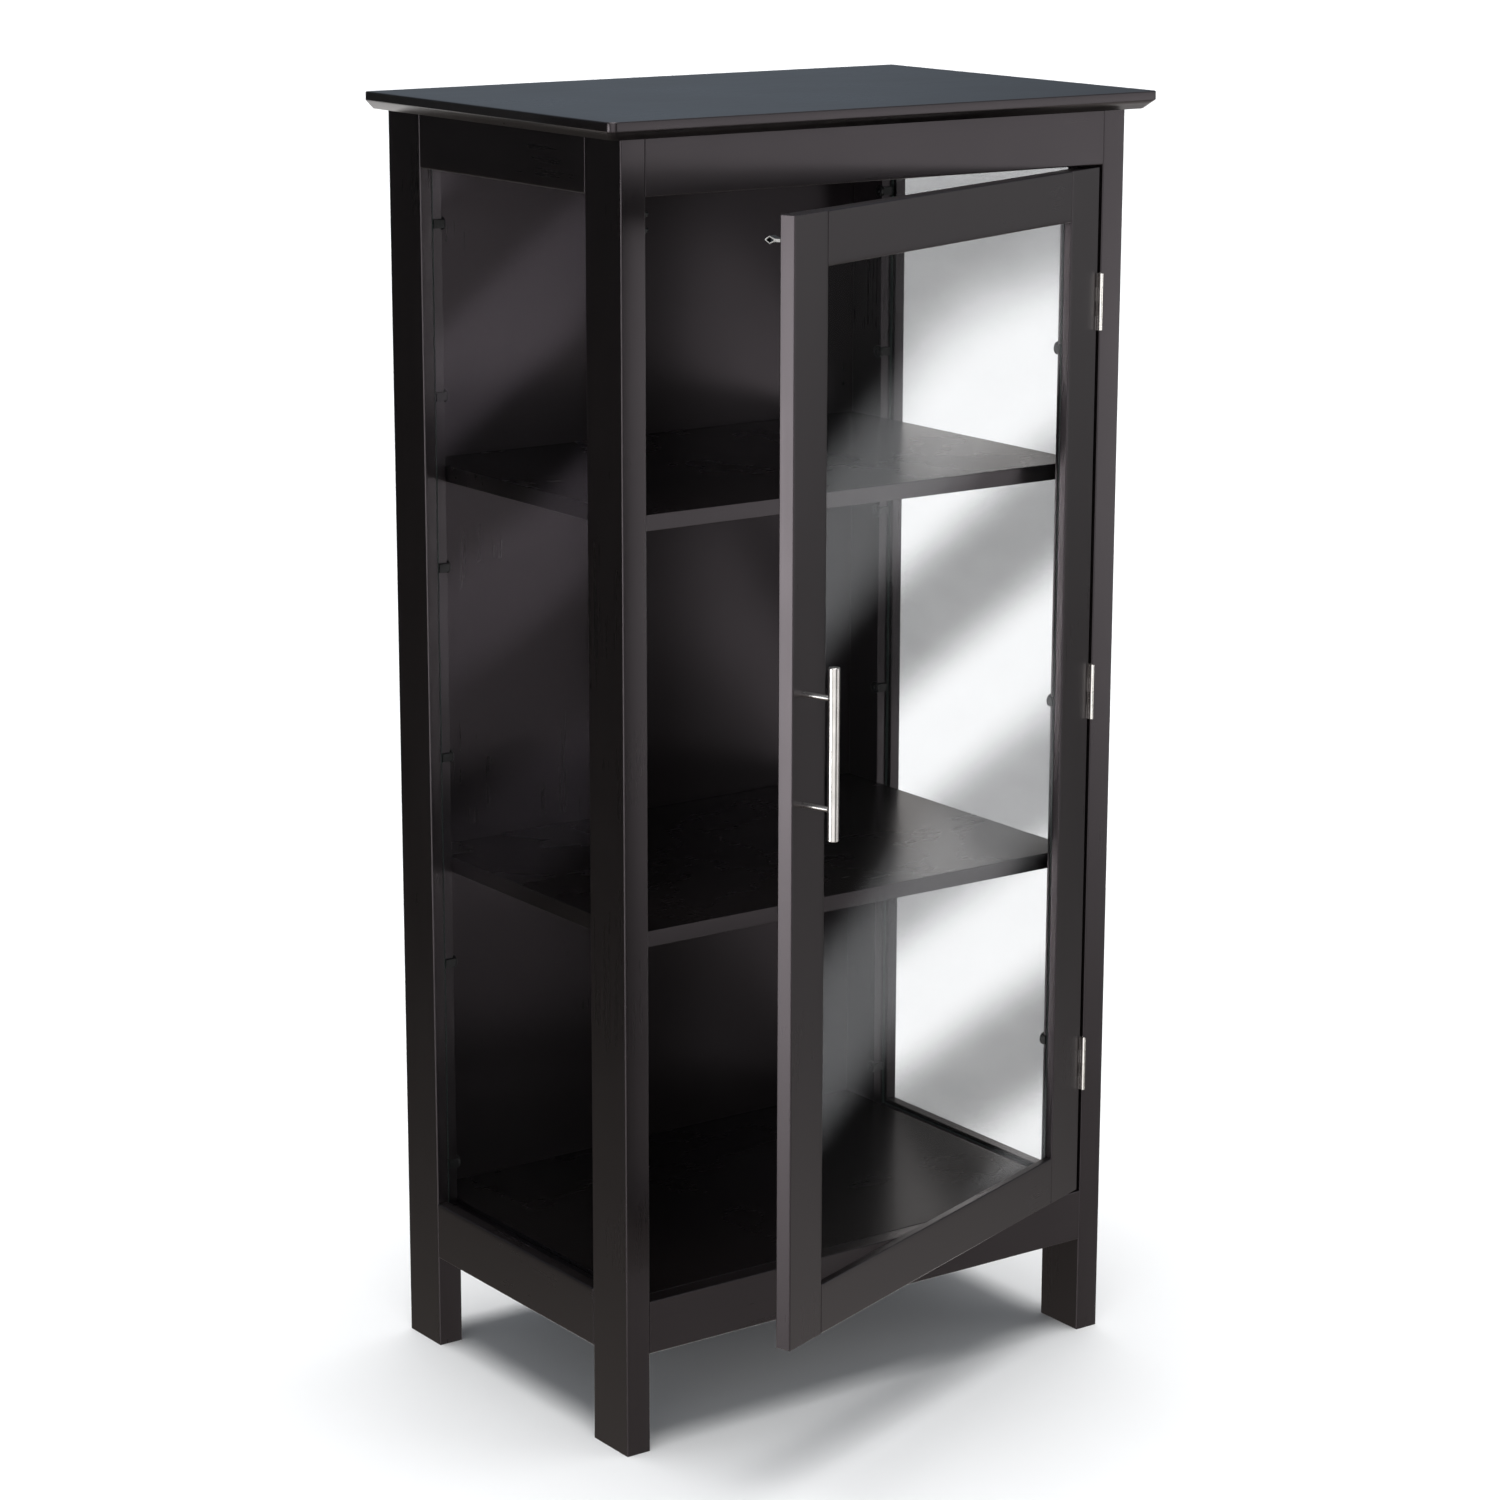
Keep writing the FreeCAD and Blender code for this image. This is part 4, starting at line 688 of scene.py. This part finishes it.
def towards_vector(towards):
    """A direction such as "+y" as a vector."""
    sign = 1 if towards[0] == "+" else -1
    return Vector([sign if axis == AXES[towards[1]] else 0 for axis in range(3)])


def outer_face(low, high, direction):
    """The middle of the face of a box that looks in a direction."""
    middle = (low + high) / 2
    for axis in range(3):
        if direction[axis] > 0.5:
            middle[axis] = high[axis]
        if direction[axis] < -0.5:
            middle[axis] = low[axis]
    return middle


def extent(low, high, direction):
    """The length of a box along an axis."""
    return abs((high - low).dot(direction))


def scaled(template, across, along):
    """A copy of a template, wider and higher by two factors."""
    copy = template.copy()
    copy.transform(Matrix.Diagonal((across, across, along, 1)))
    return copy


def add_screw(bm, low, high, direction, template=PAN_HEAD, radius=HEAD_RADIUS, height=HEAD_HEIGHT,
              head=HEAD_HEIGHT):
    """A screw in its CAD box: a crossed head, a shank and a point.

    radius and height are the template's, head the height that it gets.
    """
    across = [axis for axis in range(3) if abs(direction[axis]) < 0.5][0]
    wide = (high[across] - low[across]) / 2
    under = outer_face(low, high, direction) - direction * head
    shaped = scaled(template, wide / radius, head / height)
    stamp(bm, shaped, under, direction)
    bpy.data.meshes.remove(shaped)
    length = extent(low, high, direction) - head
    lathe(bm, [(0, 0), (SHANK, POINT), (SHANK, length)], under - direction * length, direction, 16)


def screws(node, body, place, facing, material, slot, **head):
    """Every screw of a node; facing gives the way that each one's head looks."""
    bm = bmesh.new()
    for low, high in solid_boxes(node, place):
        add_screw(bm, low, high, facing(low), **head)
    finish_piece(f"{node}_detailed", bm, [material], body, place, [node])


def glass_clip(bm, low, high, direction, sideways):
    """A round button and a foot that reaches over the glass; sideways points at the glass."""
    radius, hole, rise = 6 * MM, 3.2 * MM, 3 * MM
    clearance, sunk, half_width = 3.3 * MM, 0.5 * MM, 4 * MM
    base = outer_face(low, high, direction) - direction * rise
    base = Vector([value if abs(direction[axis]) > 0.5 or abs(sideways[axis]) < 0.5 else
                   (low[axis] + radius if sideways[axis] > 0 else high[axis] - radius)
                   for axis, value in enumerate(base)])
    lathe(bm, [(hole, 0), (radius, 0), (radius, 1.5 * MM), (5.85 * MM, 2.1 * MM), (5.4 * MM, 2.6 * MM),
               (4.6 * MM, 2.9 * MM), (3.4 * MM, rise), (hole, 2.6 * MM)], base, direction, 40)
    foot_low, foot_high = low.copy(), high.copy()
    for axis in range(3):
        if abs(direction[axis]) > 0.5:
            if direction[axis] > 0:
                foot_high[axis] = base[axis] + sunk
            else:
                foot_low[axis] = base[axis] - sunk
        elif abs(sideways[axis]) > 0.5:
            if sideways[axis] > 0:
                foot_low[axis] = base[axis] + clearance
            else:
                foot_high[axis] = base[axis] - clearance
        else:
            foot_low[axis] = base[axis] - half_width
            foot_high[axis] = base[axis] + half_width
    foot = block_with_cuts(foot_low, foot_high, [])
    ease(foot, 0.3 * MM)
    add_part(bm, foot)


def add_part(bm, part):
    """Put one mesh's faces into another's and drop it."""
    mesh = bpy.data.meshes.new("part")
    part.to_mesh(mesh)
    part.free()
    bm.from_mesh(mesh)
    bpy.data.meshes.remove(mesh)


def glass_clips():
    low, high = local_box("left_glass")
    middle = (low.y + high.y) / 2
    bm = bmesh.new()
    for low, high in solid_boxes("side_glass_clips"):
        direction = Vector((1 if low.x < 0 else -1, 0, 0))
        sideways = Vector((0, 1 if low.y < middle else -1, 0))
        glass_clip(bm, low, high, direction, sideways)
    finish_piece("side_glass_clips_detailed", bm, [BLACK_PLASTIC], "cabinet", CABINET,
                 ["side_glass_clips"])
    low, high = local_box("door_glass", DOOR)
    middle = (low.x + high.x) / 2
    bm = bmesh.new()
    for low, high in solid_boxes("door_glass_clips", DOOR):
        glass_clip(bm, low, high, Vector((0, 1, 0)), Vector((1 if low.x < middle else -1, 0, 0)))
    finish_piece("door_glass_clips_detailed", bm, [BLACK_PLASTIC], "door", DOOR,
                 ["door_glass_clips"])


def cams():
    """The turning cams of the knock-down fittings, their crosses facing out of the wood."""
    front = local_box("front_top_rail")[1].y
    bm = bmesh.new()
    for low, high in solid_boxes("cam_locks"):
        size = high - low
        if size.z < min(size.x, size.y):
            direction = Vector((0, 0, -1))
        else:
            direction = Vector((0, 1 if abs(high.y - front) < MM else -1, 0))
        depth = extent(low, high, direction)
        face = outer_face(low, high, direction)
        shaped = scaled(CAM, 1.0, depth / CAM_HEIGHT)
        stamp(bm, shaped, face - direction * depth, direction)
        bpy.data.meshes.remove(shaped)
    finish_piece("cam_locks_detailed", bm, [ZINC_CAST], "cabinet", CABINET, ["cam_locks"])


def shelf_pins():
    """Spoon-shaped pins: a peg with a rounded nose and a flat spoon with rounded corners."""
    spoon_length, half_width, corner, thickness = 12 * MM, 4 * MM, 3.5 * MM, 2 * MM
    peg_radius = 2.5 * MM
    bm = bmesh.new()
    for low, high in solid_boxes("shelf_pins"):
        inward = 1 if low.x < 0 else -1
        face = high.x - spoon_length if inward > 0 else low.x + spoon_length
        line = (low.y + high.y) / 2
        level = high.z - peg_radius
        peg = [(0, 0), (1.6 * MM, 0.2 * MM), (2.3 * MM, 0.9 * MM), (peg_radius, 2 * MM),
               (peg_radius, 9.5 * MM)]
        start = Vector((low.x if inward > 0 else high.x, line, level))
        lathe(bm, peg, start, Vector((inward, 0, 0)), 24)
        half = [(0, half_width)]
        for step in range(7):
            angle = math.pi / 2 * step / 6
            half.append((spoon_length - corner * (1 - math.sin(angle)),
                         half_width - corner * (1 - math.cos(angle))))
        ring = half + [(x, -y) for x, y in reversed(half)]
        spoon = bmesh.new()
        for z in (high.z - thickness, high.z):
            spoon.faces.new([spoon.verts.new((face + inward * x, line + y, z)) for x, y in ring])
        spoon.faces.ensure_lookup_table()
        lower, upper = [list(face_of.verts) for face_of in spoon.faces]
        for step in range(len(ring)):
            following = (step + 1) % len(ring)
            spoon.faces.new((lower[step], lower[following], upper[following], upper[step]))
        bmesh.ops.recalc_face_normals(spoon, faces=spoon.faces)
        ease(spoon, 0.3 * MM)
        add_part(bm, spoon)
    finish_piece("shelf_pins_detailed", bm, [ZINC], "cabinet", CABINET,
                 ["shelf_pins"])


def turned_pins(node, body, axis, material, bore=0.0):
    """Pins or rollers, one for each solid of a node, with their ends broken."""
    direction = towards_vector("+" + axis)
    bm = bmesh.new()
    for low, high in solid_boxes(node):
        across = [index for index in range(3) if index != AXES[axis]][0]
        radius = (high[across] - low[across]) / 2
        length = extent(low, high, direction)
        broken = 0.28 * radius
        start = outer_face(low, high, -direction)
        end = [(radius - broken, 0), (radius - 0.3 * broken, 0.3 * broken), (radius, broken)]
        profile = end + [(wide, length - along) for wide, along in reversed(end)]
        if bore:
            lathe_tube(bm, profile, bore, length, start, direction)
        else:
            lathe(bm, [(0, 0)] + profile + [(0, length)], start, direction, 28)
    finish_piece(f"{node}_turned", bm, [material], body, CABINET, [node])


def lathe_tube(bm, profile, bore, length, start, direction):
    """A turned ring: the profile outside, a plain bore inside."""
    steps = 36
    turn = Vector((0, 0, 1)).rotation_difference(direction).to_matrix()
    angles = [2 * math.pi * step / steps for step in range(steps)]
    rings = []
    for radius, height in profile + [(bore, length), (bore, 0)]:
        circle = [(radius * math.cos(angle), radius * math.sin(angle), height) for angle in angles]
        rings.append([bm.verts.new(start + turn @ Vector(point)) for point in circle])
    for below, above in zip(rings, rings[1:] + rings[:1]):
        for step in range(steps):
            following = (step + 1) % steps
            bm.faces.new((below[step], below[following], above[following], above[step]))


def catch_springs():
    """Coil springs, each a round wire coiled three turns from the bottom to the top of its CAD box."""
    wire, turns, steps, sides = 0.3 * MM, 3, 24, 10
    up = Vector((0, 0, 1))
    around = [2 * math.pi * side / sides for side in range(sides)]
    for level, arm_below in (("upper", True), ("lower", False)):
        node = f"catch_{level}_spring"
        low, high = local_box(node)
        centre = (low + high) / 2
        radius = (high.x - low.x) / 2 - wire
        bottom, rise = low.z + wire, high.z - low.z - 2 * wire
        bm = bmesh.new()
        rings = []
        for step in range(turns * steps + 1):
            angle = 2 * math.pi * step / steps
            outward = Vector((math.cos(angle), math.sin(angle), 0))
            height = bottom + rise * step / (turns * steps)
            middle = Vector((centre.x, centre.y, height)) + outward * radius
            rings.append([bm.verts.new(middle + wire * (outward * math.cos(turn) + up * math.sin(turn)))
                          for turn in around])
        for below, above in zip(rings, rings[1:]):
            for side in range(sides):
                following = (side + 1) % sides
                bm.faces.new((below[side], below[following], above[following], above[side]))
        bm.faces.new(rings[0])
        bm.faces.new(list(reversed(rings[-1])))
        spring = finish_piece(f"{node}_coiled", bm, [STEEL], None, CABINET, [node])
        held, pressed = Vector((*centre.xy, low.z)), Vector((*centre.xy, high.z))
        if arm_below:
            held, pressed = pressed, held
        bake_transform(spring)


def fasteners():
    def inward(low):
        return Vector((1 if low.x < 0 else -1, 0, 0))

    backward = towards_vector("+y")
    glass_clips()
    screws("side_glass_clip_screws", "cabinet", CABINET, inward, BLACK_STEEL, "blackened_steel")
    screws("door_glass_clip_screws", "door", DOOR, lambda low: backward, BLACK_STEEL, "blackened_steel")
    screws("back_panel_screws", "cabinet", CABINET, lambda low: backward, ZINC, "zinc_plated_steel",
           head=COUNTERSUNK)
    screws("handle_screws", "door", DOOR, lambda low: backward, ZINC, "zinc_plated_steel",
           head=COUNTERSUNK)
    screws("catch_strike_screws", "door", DOOR, lambda low: backward, ZINC, "zinc_plated_steel")
    screws("catch_screws", "cabinet", CABINET, inward, BLACK_STEEL, "blackened_steel")
    flat = {"template": FLAT_HEAD, "radius": FLAT_HEAD_RADIUS, "height": FLAT_HEAD_HEIGHT,
            "head": FLAT_HEAD_HEIGHT}
    screws("hinge_cabinet_screws", "cabinet", CABINET, lambda low: towards_vector("-x"), NICKEL,
           "nickel_plated_steel", **flat)
    screws("hinge_door_screws", "door", DOOR, lambda low: towards_vector("+x"), NICKEL,
           "nickel_plated_steel", **flat)
    turned_pins("hinge_pins", "cabinet", "z", NICKEL)
    turned_pins("catch_pivot_pins", "cabinet", "x", BLACK_STEEL)
    for level in ("upper", "lower"):
        turned_pins(f"catch_{level}_roller_pin", f"catch_{level}_arm", "x", BLACK_STEEL)
        turned_pins(f"catch_{level}_roller", f"catch_{level}_roller", "x", NYLON,
                    bore=0.85 * MM)
    catch_springs()
    cams()
    shelf_pins()


# ---------------------------------------------------------------- handle
def handle():
    """A round bar with softly broken ends on two necked posts."""
    low, high = local_box("handle_bar", CABINET)
    radius = (high.x - low.x) / 2
    length = high.z - low.z
    centre = (low + high) / 2
    break_edge = 0.9 * MM
    profile = [(0, 0), (radius - break_edge, 0)]
    for step in range(1, 6):
        angle = math.pi / 2 * step / 5
        profile.append((radius - break_edge * (1 - math.sin(angle)),
                        break_edge * (1 - math.cos(angle))))
    profile += [(point[0], length - point[1]) for point in reversed(profile)]
    bm = bmesh.new()
    lathe(bm, profile, Vector((centre.x, centre.y, low.z)), Vector((0, 0, 1)), 64)
    finish_piece("handle_bar_turned", bm, [BRUSHED], "door", CABINET, ["handle_bar"])

    bm = bmesh.new()
    for low, high in solid_boxes("handle_posts", DOOR):
        radius = (high.z - low.z) / 2
        neck = 0.82 * radius
        reach = high.y - low.y
        at = Vector(((low.x + high.x) / 2, high.y, (low.z + high.z) / 2))
        profile = [(0, 0), (radius, 0), (radius, reach - 2.6 * MM), (neck, reach - 2.2 * MM),
                   (neck, reach), (0, reach)]
        lathe(bm, profile, at, Vector((0, -1, 0)), 40)
    finish_piece("handle_posts_turned", bm, [BRUSHED], "door", DOOR, ["handle_posts"])


# ---------------------------------------------------------------- put it together
carcass_boards()
door_boards()
top_board()
glazing()
fasteners()
handle()

for node, material in {
    "side_frame_dowels": BEECH, "cross_rail_dowels": BEECH, "door_dowels": BEECH, "cam_bolts": ZINC,
    "catch_housing": BLACK_STEEL, "catch_strike": STEEL,
    "catch_upper_arm": BLACK_STEEL, "catch_lower_arm": BLACK_STEEL,
}.items():
    nodes[node].data.materials.clear()
    nodes[node].data.materials.append(material)
for level in ("upper", "middle", "lower"):
    for side in ("cabinet", "door"):
        leaf = nodes[f"{level}_hinge_{side}_leaf"]
        leaf.data.materials.clear()
        leaf.data.materials.append(NICKEL)


# ---------------------------------------------------------------- floor, light and camera
def floor():
    """The pale sweep that the cabinet stands on. Polished faces see the studio instead of it."""
    made = Nodes("pale_floor")
    fleck = made.noise(made.place((3, 3, 3)), detail=3)
    base = made.blend(made.span(fleck, 0, 1), (0.87, 0.87, 0.87), (0.89, 0.89, 0.89))
    shader = made.add("ShaderNodeBsdfPrincipled", {"Base Color": base, "Roughness": 0.9})
    mesh = bpy.data.meshes.new("floor")
    reach = 30.0
    corners = [(-reach, -reach, 0), (reach, -reach, 0), (reach, reach, 0), (-reach, reach, 0)]
    mesh.from_pydata(corners, [], [(0, 1, 2, 3)])
    mesh.materials.append(made.shader(shader.outputs[0]))
    plane = bpy.data.objects.new("floor", mesh)
    plane.visible_glossy = False
    bpy.context.scene.collection.objects.link(plane)


def reflector():
    """A white card behind the right side, lower than the top, that only polished faces see."""
    made = Nodes("white_card")
    height = made.add("ShaderNodeSeparateXYZ", {"Vector": made.place((1, 1, 1))}).outputs["Z"]
    strength = made.add("ShaderNodeMapRange", {"Value": height, "From Min": 0.30, "From Max": 0.70,
                                               "To Min": 0.55, "To Max": 1.55}).outputs[0]
    glow = made.add("ShaderNodeEmission", {"Color": (1, 0.97, 0.95, 1), "Strength": strength})
    mesh = bpy.data.meshes.new("white_card")
    left, right, top = (0.30, 1.10), (1.40, 0.30), 1.12
    mesh.from_pydata([(*left, 0), (*right, 0), (*right, top), (*left, top)], [], [(0, 1, 2, 3)])
    mesh.materials.append(made.shader(glow.outputs[0]))
    card = bpy.data.objects.new("white_card", mesh)
    for kind in ("camera", "diffuse", "transmission", "volume_scatter", "shadow"):
        setattr(card, f"visible_{kind}", False)
    bpy.context.scene.collection.objects.link(card)


def studio():
    """One broad overhead light, and a room whose soft panels stand around the cabinet.

    The panels light the cabinet; the camera sees plain white where the floor ends.

    A panel is its bearing, the half widths where it is full and where it ends, all in degrees, and its
    colour and brightness at each of some heights, given as the sine of the elevation.
    """
    made = Nodes("studio", world=True)
    direction = made.add("ShaderNodeTexCoord").outputs["Generated"]
    split = made.add("ShaderNodeSeparateXYZ", {"Vector": direction})
    rise = split.outputs["Z"]
    flat = made.add("ShaderNodeCombineXYZ", {"X": split.outputs["X"], "Y": split.outputs["Y"]})
    level = made.add("ShaderNodeVectorMath", {0: flat.outputs[0]}, operation="NORMALIZE").outputs[0]

    def by_height(steps):
        ramp = made.add("ShaderNodeValToRGB", {"Fac": made.add("ShaderNodeMapRange", {
            "Value": rise, "From Min": -1.0, "From Max": 1.0}).outputs[0]})
        ramp.color_ramp.interpolation = "EASE"
        points = ramp.color_ramp.elements
        while len(points) < len(steps):
            points.new(0.5)
        for point, (height, colour, strength) in zip(points, steps):
            point.position = (height + 1) / 2
            point.color = (*[strength * share for share in colour], 1)
        return ramp.outputs[0]

    def panel(towards, full, ends, steps):
        bearing = math.radians(towards)
        centre = (math.sin(bearing), math.cos(bearing), 0)
        facing = made.add("ShaderNodeVectorMath", {0: level, 1: centre}, operation="DOT_PRODUCT")
        share = made.add("ShaderNodeMapRange", {
            "Value": facing.outputs["Value"], "From Min": math.cos(math.radians(ends)),
            "From Max": math.cos(math.radians(full))}, interpolation_type="SMOOTHSTEP").outputs[0]
        return made.add("ShaderNodeBackground", {"Color": by_height(steps), "Strength": share}).outputs[0]

    white, cool, warm = (1, 1, 1), (0.78, 0.93, 1.10), (1, 0.92, 0.84)
    base = by_height([(-1, warm, 0.40), (-0.42, warm, 0.45), (-0.32, warm, 0.03), (-0.05, white, 0.01),
                      (0.03, cool, 0.09), (0.5, cool, 0.19), (1, white, 0.3)])
    lights = [
        made.add("ShaderNodeBackground", {"Color": base}).outputs[0],
        panel(135, 8, 26, [(-0.34, white, 0.1), (-0.26, white, 0.3), (-0.16, white, 3.3),
                           (-0.09, white, 1.2), (0.0, white, 1.0), (0.3, white, 1.0), (0.6, white, 0.2)]),
        panel(-80, 6, 22, [(-0.36, white, 0.3), (-0.29, white, 2.5), (-0.24, white, 9.0),
                           (-0.18, white, 10.5), (-0.06, white, 1.3), (0.3, white, 0.7),
                           (0.6, white, 0.0)]),
        panel(108, 5, 18, [(-0.36, white, 0.35), (-0.22, white, 0.15), (-0.10, white, 0.7),
                           (0.3, white, 0.2), (0.6, white, 0.0)]),
        panel(215, 18, 42, [(-0.5, white, 0.4), (-0.2, white, 1.7), (0.3, white, 1.7), (0.6, white, 0.0)]),
        panel(34, 24, 38, [(-0.5, white, 1.3), (-0.04, white, 1.2), (0.0, white, 0.0)]),
        panel(30, 2, 14, [(-0.02, cool, 0.0), (0.03, cool, 0.12), (0.3, cool, 0.12), (0.5, cool, 0.0)]),
    ]
    whole = lights[0]
    for light in lights[1:]:
        whole = made.add("ShaderNodeAddShader", {0: whole, 1: light}).outputs[0]
    plain = made.add("ShaderNodeBackground", {"Color": (1, 1, 1, 1)}).outputs[0]
    seen = made.add("ShaderNodeLightPath").outputs["Is Camera Ray"]
    bpy.context.scene.world = made.shader(made.mixed(seen, whole, plain))
    overhead = bpy.data.lights.new("overhead", "SUN")
    overhead.energy = 3.45
    overhead.angle = math.radians(50)
    lamp = bpy.data.objects.new("overhead", overhead)
    bpy.context.scene.collection.objects.link(lamp)


def camera():
    """The photograph's view: from the front left and a little above."""
    data = bpy.data.cameras.new("camera")
    data.lens = 96.40
    data.sensor_width = 36
    view = bpy.data.objects.new("camera", data)
    view.location = (-2.1550, -2.9004, 1.4878)
    yaw, pitch, roll = math.radians(35.624), math.radians(-13.786), 0.0022
    forward = Vector((math.sin(yaw) * math.cos(pitch), math.cos(yaw) * math.cos(pitch),
                      math.sin(pitch)))
    view.rotation_mode = "QUATERNION"
    aim = forward.to_track_quat("-Z", "Y")
    view.rotation_quaternion = aim @ Matrix.Rotation(roll, 3, "Z").to_quaternion()
    bpy.context.scene.collection.objects.link(view)
    bpy.context.scene.camera = view


floor()
reflector()
studio()
camera()
scene = bpy.context.scene
scene.view_settings.view_transform = "Standard"
